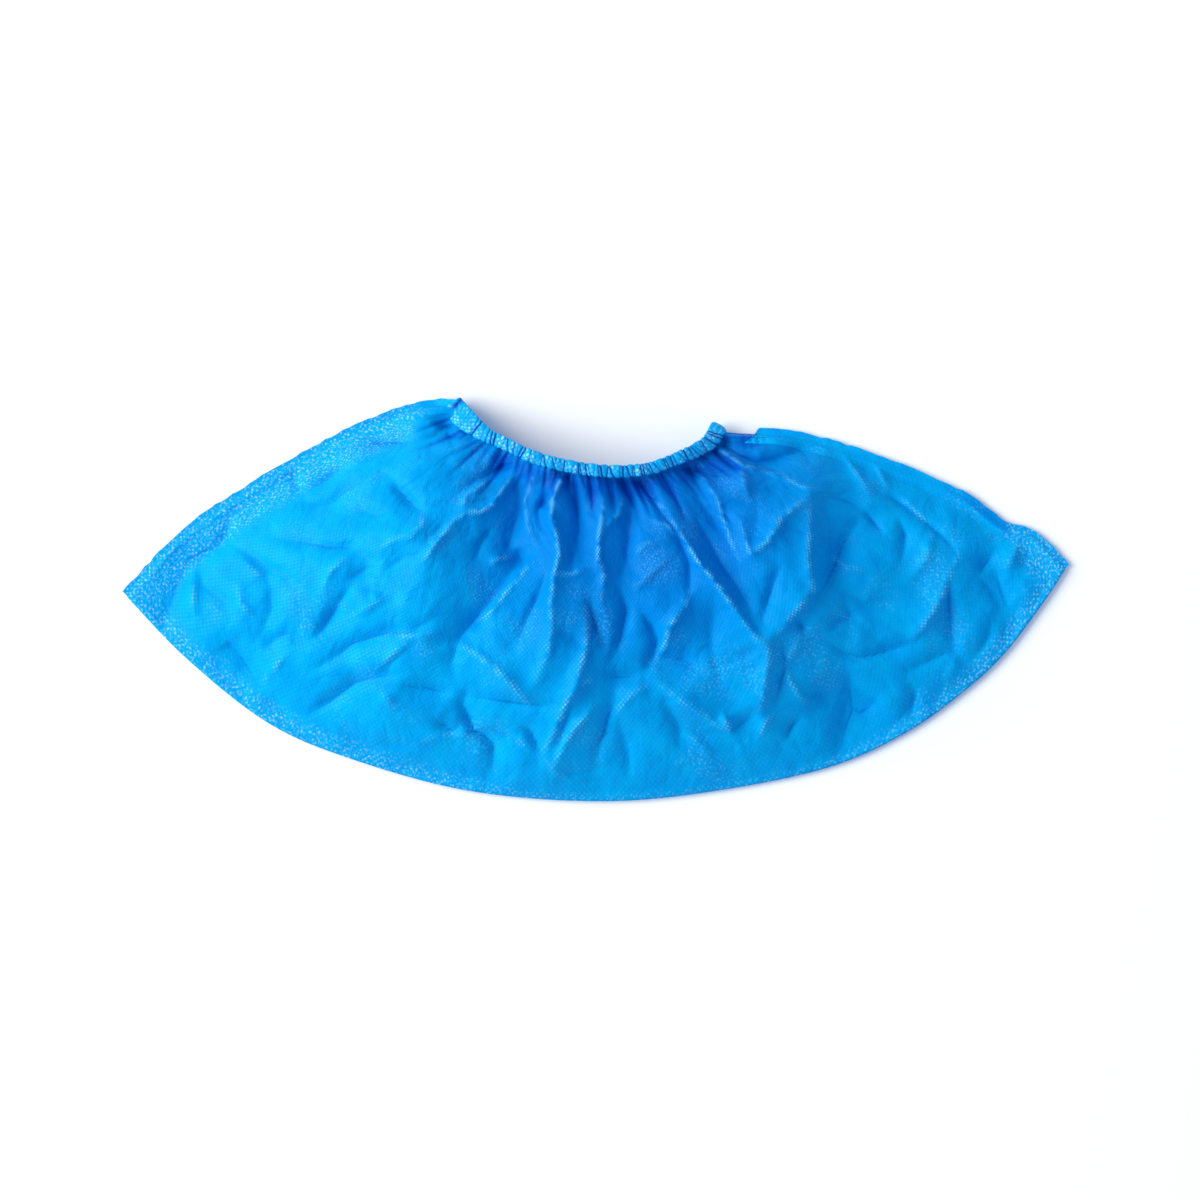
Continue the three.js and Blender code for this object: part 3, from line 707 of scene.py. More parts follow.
@dataclass(frozen=True)
class GatherFan:
    """The short folds that fan out of the gathered collar.

    Attributes:
        count: How many there are on one side.
        lean: Table of share along the collar and lean from straight down, in degrees towards the heel.
        lengths: Shortest and longest, in millimetres.
        heights: Shallowest and deepest, in millimetres.
        widths: Narrowest and widest, in millimetres.
        seed: Start of the random draws.
    """

    count: int = 48
    lean: Table = (
        (0.0, -66.0), (0.12, -56.0), (0.22, -30.0), (0.36, -8.0), (0.5, 4.0), (0.62, 20.0), (0.76, 34.0),
        (0.9, 46.0), (1.0, 62.0),
    )
    lengths: Pair = (5.0, 22.0)
    heights: Pair = (1.1, 2.8)
    widths: Pair = (0.8, 1.5)
    seed: int = 11

    SCATTER = 0.35  # how far a fold strays along the collar, as a share of the distance between two
    SWAY = 7.0  # how far its lean strays, in degrees
    BEND = 0.12  # how far it bends on its way, in radians
    SHORTNESS = 1.6  # power that makes short folds the common ones
    POINTS = (0.0, 0.35, 0.7, 1.0)  # shares of its length at which its route has a point

    def creases(self, collar: Spline) -> list[Crease]:
        """The fan's creases.

        Args:
            collar: The collar's curve.

        Returns:
            One crease for each short fold.
        """
        rng = np.random.default_rng(self.seed)
        made = []
        for i in range(self.count):
            share = (i + 0.5 + rng.uniform(-self.SCATTER, self.SCATTER)) / self.count
            lean = np.radians(between(self.lean, np.array([share]))[0] + rng.uniform(-self.SWAY, self.SWAY))
            length = self.lengths[0] + (self.lengths[1] - self.lengths[0]) * rng.random() ** self.SHORTNESS
            bend = rng.uniform(-self.BEND, self.BEND)
            start = collar.at(share)
            route = []
            for step in self.POINTS:
                angle = lean + bend * step
                route.append(tuple(start + np.array([np.sin(angle), -np.cos(angle)]) * length * step))
            height, width = rng.uniform(*self.heights), rng.uniform(*self.widths)
            made.append(trough(height, width, *route))
        return made


@dataclass(frozen=True)
class Crumple:
    """Flat facets between random points, as in a sheet that was balled up and pulled straight.

    Attributes:
        cell: Distance between the points, in millimetres.
        height: Highest point above the mean, in millimetres.
        seed: Start of the random draws.
    """

    cell: float
    height: float
    seed: int

    HALF = np.array([175.0, 75.0])  # half of the area that the facets cover, in millimetres
    MARGIN = 3  # cells added all round it
    SCATTER = 0.42  # how far a point strays from its cell's corner, in cells
    ABOVE = 100.0  # height from which the facets are looked down on
    SAME = 1e-6  # distance below which two points are one

    def relief(self, places: np.ndarray) -> np.ndarray:
        """Height of the facets at each place.

        Args:
            places: Points in plan.

        Returns:
            Heights in millimetres.
        """
        rng = np.random.default_rng(self.seed)
        high = np.ceil(self.HALF / self.cell).astype(int) + self.MARGIN
        low = -high
        knots = np.array([(i, j) for i in range(low[0], high[0]) for j in range(low[1], high[1])], float)
        knots += rng.uniform(-self.SCATTER, self.SCATTER, knots.shape)
        tops = rng.uniform(-self.height, self.height, len(knots))
        spread = [Vector(knot) for knot in knots * self.cell]
        flat, _, faces, sources, _, _ = delaunay_2d_cdt(spread, [], [], 0, self.SAME)
        corners = [Vector((p.x, p.y, tops[s[0]])) for p, s in zip(flat, sources)]
        tree = BVHTree.FromPolygons(corners, faces)
        down = Vector((0, 0, -1))
        return np.array([tree.ray_cast(Vector((x, y, self.ABOVE)), down)[0].z for x, y in places])


def only(obj: bpy.types.Object) -> None:
    """Leaves one piece alone selected and active.

    Args:
        obj: The piece.
    """
    bpy.ops.object.select_all(action="DESELECT")
    obj.select_set(True)
    bpy.context.view_layer.objects.active = obj


def edit(obj: bpy.types.Object, *steps: Callable[[], Any]) -> None:
    """Runs edit-mode steps, starting with the whole piece selected.

    Args:
        obj: The piece.
        *steps: What to run, in order.
    """
    only(obj)
    bpy.ops.object.mode_set(mode="EDIT")
    bpy.ops.mesh.select_all(action="SELECT")
    for step in steps:
        step()
    bpy.ops.object.mode_set(mode="OBJECT")


def face_outward(obj: bpy.types.Object) -> None:
    """Turns all faces of a closed piece outward."""
    edit(obj, lambda: bpy.ops.mesh.normals_make_consistent(inside=False))


def apply_modifier(obj: bpy.types.Object, kind: str, **settings: Any) -> None:
    """Adds a modifier and applies it.

    Args:
        obj: The piece.
        kind: The modifier's type.
        **settings: Its settings by name.
    """
    only(obj)
    bpy.ops.object.modifier_add(type=kind)
    modifier = obj.modifiers[-1]
    for name, value in settings.items():
        setattr(modifier, name, value)
    bpy.ops.object.modifier_apply(modifier=modifier.name)


def set_attribute(mesh: bpy.types.Mesh, name: str, values: np.ndarray) -> None:
    """Keeps a number on each vertex, for a material to read."""
    layer = mesh.attributes.get(name) or mesh.attributes.new(name, "FLOAT", "POINT")
    layer.data.foreach_set("value", values.astype(np.float32))


def set_cloth_uv(mesh: bpy.types.Mesh, flat: np.ndarray) -> None:
    """Maps the weave by where each vertex lies on the flat sheet.

    Args:
        mesh: The piece's mesh.
        flat: Places on the flat sheet, in metres, one for each vertex.
    """
    layer = mesh.uv_layers.get(CLOTH_UV) or mesh.uv_layers.new(name=CLOTH_UV)
    corners = np.empty(len(mesh.loops), dtype=np.int64)
    mesh.loops.foreach_get("vertex_index", corners)
    layer.data.foreach_set("uv", flat[corners].astype(np.float32).ravel())


def glint_band_end(along: np.ndarray, up: np.ndarray) -> np.ndarray:
    """Added to the distance from a weld where its painted glints die out, lower down at the heel end."""
    return GLINT_REACH * np.where(along < 0.5, ease(up, *TOE_FADE), ease(up, *HEEL_FADE))


def add_grid(name: str, along_steps: int, up_steps: int) -> tuple[bpy.types.Object, np.ndarray, np.ndarray]:
    """Adds a flat grid from 0 to 1 each way, ready to be laid.

    Args:
        name: The piece's name.
        along_steps: Faces from toe to heel.
        up_steps: Faces from fold to collar.

    Returns:
        The object, and each vertex's two shares.
    """
    bpy.ops.object.select_all(action="DESELECT")
    bpy.ops.mesh.primitive_grid_add(
        x_subdivisions=along_steps, y_subdivisions=up_steps, size=1, location=(0.5, 0.5, 0)
    )
    obj = bpy.context.object
    obj.name = name
    obj.data.name = name
    bpy.ops.object.transform_apply(location=True, rotation=True, scale=True)
    places = np.empty(len(obj.data.vertices) * 3)
    obj.data.vertices.foreach_get("co", places)
    shares = np.clip(places.reshape(-1, 3)[:, :2], 0, 1)
    return obj, shares[:, 0], shares[:, 1]


def lay(obj: bpy.types.Object, places: np.ndarray) -> None:
    """Moves every vertex to its place, given in millimetres."""
    obj.data.vertices.foreach_set("co", (places * MM).ravel())
    obj.data.update()


@dataclass
class Pouch:
    """The cloth pouch: near side and far side, one at the sole fold, welded at both ends, open at the collar.

    Attributes:
        form: Sizes and plan of the pouch.
        near_steps: Faces of the near side along and up.
        far_steps: Faces of the far side along and up.
        wall: Thickness of the cloth, in millimetres.
        least_gap: Least height of the near side above the far side.
        fold_low: Height of the far side's rim above the floor.
        fold_high: Height of the near side's rim.
        fold_round: How far in from the rim the near side has its full height.
        fold_glint_reach: Table of share along, and the distance from a weld at which the painted glints are
        as strong as at the sole fold there.
        crowding: How much closer the steps lie near the rims, from 0 to 1.
        fold_gain: How much deeper the creases are laid than they were measured.
        gap_shade_middle: Where in plan the two sides stand furthest apart, and the painted shade is deepest.
        gap_shade_reach: Distances from there up to which they count as fully parted and the shade is painted
            in full, and from which they lie together with none.
        near_crumples: Facets of the near side.
        far_crumples: Facets of the far side.
        near_fan: Short folds under the near side's collar.
        far_fan: Short folds under the far side's collar.
    """

    form: PouchForm
    near_steps: tuple[int, int] = (352, 128)
    far_steps: tuple[int, int] = (88, 32)
    wall: float = 0.4
    least_gap: float = 1.3
    fold_low: float = 0.3
    fold_high: float = 1.7
    fold_round: float = 3.0
    fold_glint_reach: Table = ((0.0, 3.0), (0.3, 5.0), (0.45, 8.5), (0.7, 8.5), (0.85, 5.0), (1.0, 4.0))
    crowding: float = 0.25
    fold_gain: float = 2.8
    gap_shade_middle: Pair = (16.0, 42.0)
    gap_shade_reach: Pair = (30.0, 98.0)
    near_crumples: tuple[Crumple, ...] = (
        Crumple(22.0, 1.6, 5), Crumple(10.0, 0.7, 23), Crumple(5.0, 0.3, 31),
    )
    far_crumples: tuple[Crumple, ...] = (Crumple(18.0, 0.35, 41),)
    near_fan: GatherFan = GatherFan()
    far_fan: GatherFan = GatherFan(count=30, heights=(0.3, 0.8), seed=29)

    SMOOTHING = 0.08  # how far the mesh is evened out, which takes off the teeth along a crest
    LINE_SHADE = 0.5  # painted shade of a trough's thin line, against that of a gather
    SHADE_TOP = 0.9  # share up from which the gathers' painted shade fades towards the hem
    AT_COLLAR = 1.0 - 1e-5  # share up from which a vertex is one of the collar's
    SWELL_RIM = 30.0  # distance from the closed rims within which the swells fade, in millimetres
    SWELL_HEM = 25.0  # the same from the hem
    FOLD_HEM = 5.0  # distance from the hem within which folds and facets fade
    GATHER_HEM = 2.0  # the same for the short folds
    SOFTNESS = 0.8  # height over which the near side comes to rest at its least gap
    RIM_BAND = 1.6  # distance over which the near side comes down to the closed rims
    RIM_TOP = 0.93  # share up from which the rims part towards the collar's corners
    PRESSED = 0.5  # share of the far side's short folds that the floor leaves

    def build(self) -> bpy.types.Object:
        """Builds both sides, joins them and gives the cloth its thickness.

        Returns:
            The finished piece.
        """
        near = self.lay_side("upper_pouch", self.near_steps, near=True)
        far = self.lay_side("far_side", self.far_steps, near=False)
        edit(far, bpy.ops.mesh.flip_normals)
        near.select_set(True)
        bpy.context.view_layer.objects.active = near
        bpy.ops.object.join()
        self.close_rims(near)
        apply_modifier(near, "SMOOTH", factor=self.SMOOTHING, iterations=1)
        apply_modifier(near, "SOLIDIFY", thickness=self.wall * MM, offset=-1.0)
        only(near)
        bpy.ops.object.shade_smooth()
        return near

    def lay_side(self, name: str, steps: tuple[int, int], near: bool) -> bpy.types.Object:
        """Lays one side of the pouch as a creased surface.

        Args:
            name: The side's name.
            steps: Faces along and up.
            near: True for the side that faces up.

        Returns:
            The side as an object.
        """
        obj, first, second = add_grid(name, *steps)
        along = first + (slow_ends(first) - first) * self.crowding
        up = second + (slow_ends(second) - second) * self.crowding
        places = self.form.plan(along, up)
        height = self.near_relief(along, up, places) if near else self.far_relief(along, up, places)
        lay(obj, np.column_stack([places, height]))
        side = 1.0 if near else -1.0
        flat = np.column_stack([along * self.form.sheet_length, side * up * self.form.sheet_side]) * MM
        set_cloth_uv(obj.data, flat)
        self.mark_side(obj.data, along, up, places, near)
        return obj

    def mark_side(
        self, mesh: bpy.types.Mesh, along: np.ndarray, up: np.ndarray, places: np.ndarray, near: bool
    ) -> None:
        """Keeps the numbers that the cloth's material reads, and which vertices lie on the closed rims.

        Args:
            mesh: The side's mesh.
            along: Shares along.
            up: Shares up.
            places: Points in plan.
            near: True for the side that faces up.
        """
        # Distance to the band of painted glints beside the welds and the sole fold
        from_weld = self.from_ends(along, up) + glint_band_end(along, up)
        from_fold = up * self.form.sheet_side + between(self.fold_glint_reach, along)
        set_attribute(mesh, GLINT_BAND, np.minimum(from_weld, from_fold) * MM)
        # Painted shade down in the short folds, and along the troughs of the near side
        gathered = self.gathers(places, near) * (1 - ease(up, self.SHADE_TOP, 1.0))
        shade = np.clip(-gathered / self.near_fan.heights[1], 0, 1)
        parted = np.zeros_like(up)
        if near:
            shade = np.maximum(shade, self.painted_lines(places, Fold.TROUGH) * self.LINE_SHADE)
            set_attribute(mesh, CREST_HIGHLIGHT, self.painted_lines(places, Fold.RIDGE))
            # Painted shade where the two sides stand apart, for light that does not come back through the
            # cloth
            away = np.linalg.norm(places - np.array(self.gap_shade_middle), axis=1)
            parted = 1 - ease(away, *self.gap_shade_reach)
        set_attribute(mesh, PAINTED_SHADE, shade)
        set_attribute(mesh, OPEN, parted)
        set_attribute(mesh, RIM, (up < self.AT_COLLAR).astype(float))

    def painted_lines(self, places: np.ndarray, fold: Fold) -> np.ndarray:
        """Strength of the painted highlights along all ridges, or the painted shade along all troughs.

        Args:
            places: Points in plan.
            fold: Ridges or troughs.

        Returns:
            Strengths from 0 to 1.
        """
        collar = self.form.collar_marks
        strengths = [crease.line(places, collar) for crease in CREASES if crease.fold is fold]
        return np.max(strengths, axis=0)

    def from_ends(self, along: np.ndarray, up: np.ndarray) -> np.ndarray:
        """Distance on the sheet to the nearer welded end, in millimetres."""
        return np.minimum(along, 1 - along) * (self.form.sheet_length * (1 - up) + self.form.collar_span * up)

    def from_rims(self, along: np.ndarray, up: np.ndarray) -> np.ndarray:
        """Distance on the sheet to the nearest closed rim, in millimetres."""
        return np.minimum(self.from_ends(along, up), up * self.form.sheet_side)

    def gathers(self, places: np.ndarray, near: bool) -> np.ndarray:
        """Height of the short folds that the elastic draws up.

        Args:
            places: Points in plan.
            near: True for the side that faces up.

        Returns:
            Heights in millimetres.
        """
        if near:
            folds = self.near_fan.creases(self.form.collar) + list(CORNER_TICKS)
        else:
            folds = self.far_fan.creases(self.form.collar)
        return sum(fold.relief(places, self.form.collar_marks) for fold in folds)

    def near_relief(self, along: np.ndarray, up: np.ndarray, places: np.ndarray) -> np.ndarray:
        """Height of the near side with its creases, gathers and facets.

        Args:
            along: Shares along.
            up: Shares up.
            places: Points in plan.

        Returns:
            Heights in millimetres.
        """
        form = self.form
        from_rims = self.from_rims(along, up)
        below_hem = (1 - up) * form.sheet_side
        folds = self.fold_gain * sum(crease.relief(places, form.collar_marks) for crease in CREASES)
        facets = sum(crumple.relief(places) for crumple in self.near_crumples)
        swells = sum(swell.relief(places) for swell in SWELLS) * ease(from_rims, 0, self.SWELL_RIM)
        swells *= ease(below_hem, 0, self.SWELL_HEM)
        relief = (folds + facets + swells) * ease(below_hem, 0, self.FOLD_HEM)
        relief += self.gathers(places, near=True) * ease(below_hem, 0, self.GATHER_HEM)
        relief *= ease(from_rims, 0, self.fold_round)
        gap = form.thickness(along, up) + form.pleats(along, up) + relief
        gap = self.least_gap + self.SOFTNESS * np.logaddexp(0, (gap - self.least_gap) / self.SOFTNESS)
        body = form.far_height(along, up) + gap
        rim = (1 - ease(from_rims, 0, self.RIM_BAND)) * (1 - ease(up, self.RIM_TOP, 1.0))
        return body * (1 - rim) + self.fold_high * rim

    def far_relief(self, along: np.ndarray, up: np.ndarray, places: np.ndarray) -> np.ndarray:
        """Height of the far side, which lies on the floor.

        Args:
            along: Shares along.
            up: Shares up.
            places: Points in plan.

        Returns:
            Heights in millimetres.
        """
        below_hem = (1 - up) * self.form.sheet_side
        facets = sum(crumple.relief(places) for crumple in self.far_crumples)
        wrinkle = np.clip(facets, 0, None) * ease(below_hem, 0, self.FOLD_HEM)
        wrinkle -= self.gathers(places, near=False) * ease(below_hem, 0, self.GATHER_HEM) * self.PRESSED
        rise = ease(self.from_rims(along, up), 0, self.fold_round)
        rim = (1 - rise) * (1 - ease(up, self.RIM_TOP, 1.0))
        return (self.form.far_height(along, up) + wrinkle * rise) * (1 - rim) + self.fold_low * rim

    def close_rims(self, obj: bpy.types.Object) -> None:
        """Bridges the near side's rim to the far side's, at the fold and both ends.

        Args:
            obj: Both sides, joined as one object.
        """
        mesh = obj.data
        closed = np.empty(len(mesh.vertices), dtype=np.float32)
        mesh.attributes[RIM].data.foreach_get("value", closed)
        edit(
            obj,
            lambda: bpy.ops.mesh.select_mode(type="EDGE"),
            lambda: bpy.ops.mesh.select_all(action="DESELECT"),
            bpy.ops.mesh.select_non_manifold,
        )
        for edge in mesh.edges:
            if edge.select and not any(closed[v] > 0.5 for v in edge.vertices):
                edge.select = False
        bpy.ops.object.mode_set(mode="EDIT")
        bpy.ops.mesh.bridge_edge_loops()
        bpy.ops.object.mode_set(mode="OBJECT")
        face_outward(obj)
        mesh.attributes.remove(mesh.attributes[RIM])


@dataclass
class MouthPath:
    """The sheet's edge all the way round the mouth: along the near side, and back along the far side.

    Attributes:
        edge: Points of the edge, in millimetres.
        mouth: Directions out of the mouth.
        out: Directions out of the sheet.
        along: Shares from toe to heel.
    """

    edge: np.ndarray
    mouth: np.ndarray
    out: np.ndarray
    along: np.ndarray

    TURN = 0.016  # share of the way round that each corner takes
    BULGE = (1.15, 0.8)  # how far the toe corner and the heel corner stand out, against a half circle

    @classmethod
    def of(cls, form: PouchForm, way: np.ndarray) -> MouthPath:
        """Follows the edge, with a half circle at each corner.

        Args:
            form: Sizes and plan of the pouch.
            way: Shares of the way round, from the toe corner.

        Returns:
            The path at those shares.
        """
        half = 0.5 - cls.TURN
        sides = [way < half, way < 0.5, way < 0.5 + half]
        along = np.select(sides, [way / half, 1.0, 1 - (way - 0.5) / half], 0.0)
        turn = np.select(sides, [0.0, (way - half) / cls.TURN, 1.0], 1 - (way - 0.5 - half) / cls.TURN)
        top = np.ones_like(along)
        near, far = form.near_height(along, top), form.far_height(along, top)
        radius = (near - far) / 2
        heading = form.collar.heading(along)
        side = np.where(along > 0.5, 1.0, -1.0) * ((turn > 0) & (turn < 1))
        sideways = (side * np.sin(turn * np.pi))[:, None] * heading
        level = (near + far) / 2 + np.cos(turn * np.pi) * radius
        bulge = radius * np.where(along > 0.5, cls.BULGE[1], cls.BULGE[0])
        edge = np.column_stack([form.plan(along, top) + sideways * bulge[:, None], level])
        mouth = np.column_stack([turned(heading), np.zeros_like(along)])
        return cls(edge, mouth, np.column_stack([sideways, np.cos(turn * np.pi)]), along)

    def beside(self, beyond: np.ndarray, across: np.ndarray) -> np.ndarray:
        """Points beside the edge.

        Args:
            beyond: How far past the edge they are, out of the mouth.
            across: How far out of the sheet's outer face they are.

        Returns:
            Points in millimetres.
        """
        return self.edge + self.mouth * beyond[:, None] + self.out * across[:, None]


def add_ring(name: str, steps: tuple[int, int]) -> tuple[bpy.types.Object, np.ndarray, np.ndarray]:
    """Adds a ring, ready to be laid along the mouth.

    Args:
        name: The piece's name.
        steps: Faces round the ring and round its section, before each is cut into four.

    Returns:
        The object, each vertex's share of the way round, and its angle round the section.
    """
    bpy.ops.object.select_all(action="DESELECT")
    bpy.ops.mesh.primitive_torus_add(
        major_segments=steps[0], minor_segments=steps[1], major_radius=RING_RADIUS,
        minor_radius=SECTION_RADIUS,
    )
    obj = bpy.context.object
    obj.name = obj.data.name = name
    edit(obj, lambda: bpy.ops.mesh.subdivide(number_cuts=RING_CUTS))
    ring = np.empty(len(obj.data.vertices) * 3)
    obj.data.vertices.foreach_get("co", ring)
    x, y, z = ring.reshape(-1, 3).T
    return obj, (np.arctan2(y, x) / (2 * np.pi)) % 1.0, np.arctan2(z, np.hypot(x, y) - RING_RADIUS)


def keep_borders_crisp(obj: bpy.types.Object) -> None:
    """Keeps smooth shading from running round the sharp borders of a flat piece.

    Args:
        obj: The piece.
    """
    edit(
        obj,
        lambda: bpy.ops.mesh.select_mode(type="EDGE"),
        lambda: bpy.ops.mesh.select_all(action="DESELECT"),
        lambda: bpy.ops.mesh.edges_select_sharp(sharpness=CRISP_TURN),
        bpy.ops.mesh.mark_sharp,
    )


@dataclass
class CollarHem:
    """The hem round the mouth: the cloth turned over the elastic and drawn up in small gathers.

    Attributes:
        form: Sizes and plan of the pouch.
        steps: Faces round the mouth and round the section, before each is cut into four.
        foot: Table of share along and how far the hem reaches down from the sheet's edge, in millimetres.
        head: How far it stands past the edge.
        outer: How far it stands out of the sheet's outer face.
        inner: How far it stands in from the same face.
        gathers: Gathers on each side.
        depth: How deep the deepest goes.
        press: Shares of the depth that show on the outer face, the inner face and the hem's two edges.
        sharpness: Width of a gather's valley, as a share of the distance between two.
        slant: Least and most that a gather leans from foot to head, as shares of the same distance.
        squareness: Power that fills out the section's circle towards a square.
        seed: Start of the random draws.
    """

    form: PouchForm
    steps: tuple[int, int] = (256, 6)
    foot: Table = (
        (0.0, 5.6), (0.05, 5.2), (0.1, 3.6), (0.16, 2.1), (0.24, 1.7), (0.8, 1.7), (0.9, 2.3), (1.0, 3.4),
    )
    head: float = 3.3
    outer: float = 1.2
    inner: float = 1.4
    gathers: int = 72
    depth: float = 1.3
    press: tuple[float, float, float] = (0.7, 0.5, 0.6)
    sharpness: float = 0.26
    slant: Pair = (-0.5, 1.7)
    squareness: float = 0.85
    seed: int = 3

    STRAY = 0.42  # how far a gather strays along the hem, as a share of the distance between two
    SHALLOWEST = 0.2  # depth of the shallowest gather, as a share of the deepest
    LIT = (0.2, 0.9)  # heights up the section between which the crests get painted glints, in its half heights

    def build(self) -> bpy.types.Object:
        """Lays a ring along the mouth and presses the gathers into it.

        Returns:
            The finished piece.
        """
        obj, way, around = add_ring("gathered_hem", self.steps)
        path = MouthPath.of(self.form, way)
        pinch = self.pinch(way, around)
        lean, rise = np.cos(around), np.sin(around)
        foot = between(self.foot, path.along)
        beyond = self.filled(lean) * (self.head + foot) / 2 + (self.head - foot) / 2
        beyond -= pinch * np.sign(lean) * lean**2 * self.press[2]
        across = self.filled(rise) * (self.outer + self.inner) / 2 + (self.outer - self.inner) / 2
        across -= pinch * rise * np.where(rise > 0, self.press[0], self.press[1])
        lay(obj, path.beside(beyond, across))
        face_outward(obj)
        run = path.along * self.form.collar.length
        set_cloth_uv(obj.data, np.column_stack([run, across * 2 + beyond]) * MM)
        self.mark(obj.data, way, rise, pinch / self.depth)
        bpy.ops.object.shade_smooth()
        return obj

    def mark(self, mesh: bpy.types.Mesh, way: np.ndarray, rise: np.ndarray, gathered: np.ndarray) -> None:
        """Keeps the numbers that the hem's material reads: painted shade in the gathers, painted glints on
        crests.

        Args:
            mesh: The hem's mesh.
            way: Shares of the way round the mouth.
            rise: Heights up the section, from -1 to 1.
            gathered: Depths of the gathers, from 0 to 1.
        """
        # Painted glints on some of the crests, on the section's upper face, and painted shade down in the
        # gathers
        count = 2 * self.gathers
        glint = np.random.default_rng(self.seed + 1).random(count + 1)
        shown = np.interp(way * count, np.arange(count + 1), glint)
        set_attribute(mesh, PAINTED_SHADE, gathered)
        set_attribute(mesh, CREST_HIGHLIGHT, shown * (1 - gathered) ** 2 * ease(rise, *self.LIT))
        set_attribute(mesh, GLINT_BAND, np.ones_like(way))
        set_attribute(mesh, OPEN, np.ones_like(way))

    def filled(self, values: np.ndarray) -> np.ndarray:
        """Fills out a circle's coordinate towards a square's."""
        return np.sign(values) * np.abs(values) ** self.squareness

    def pinch(self, way: np.ndarray, around: np.ndarray) -> np.ndarray:
        """Depth of the gathers at each point.

        Args:
            way: Shares of the way round the mouth.
            around: Angles round the section.

        Returns:
            Depths in millimetres.
        """
        rng = np.random.default_rng(self.seed)
        count = 2 * self.gathers
        stray = rng.uniform(-self.STRAY, self.STRAY, count)
        depth = rng.uniform(self.SHALLOWEST, 1.0, count)
        slant = rng.uniform(*self.slant, count)
        deepest = np.zeros_like(way)
        for i in range(count):
            turn = way * count + slant[i] * np.cos(around) / 2
            away = np.abs((turn - i - stray[i] + count / 2) % count - count / 2)
            deepest = np.maximum(deepest, depth[i] * np.exp(-away / self.sharpness))
        return self.depth * deepest


@dataclass
class ElasticBand:
    """The flat elastic inside the hem.

    Attributes:
        form: Sizes and plan of the pouch.
        steps: Faces round the mouth and round the section, before each is cut into four.
        start: Its near edge past the sheet's edge, in millimetres.
        width: Its width.
        thickness: Its thickness, inward from the sheet's outer face.
    """

    form: PouchForm
    steps: tuple[int, int] = (90, 3)
    start: float = 0.3
    width: float = 1.9
    thickness: float = 0.4

    def build(self) -> bpy.types.Object:
        """Lays a flat ring along the mouth.

        Returns:
            The finished piece.
        """
        obj, way, around = add_ring("elastic_band", self.steps)
        path = MouthPath.of(self.form, way)
        beyond = self.start + self.width * (1 + np.cos(around)) / 2
        across = -self.thickness * (1 - np.sin(around)) / 2
        lay(obj, path.beside(beyond, across))
        face_outward(obj)
        bpy.ops.object.shade_smooth()
        return obj


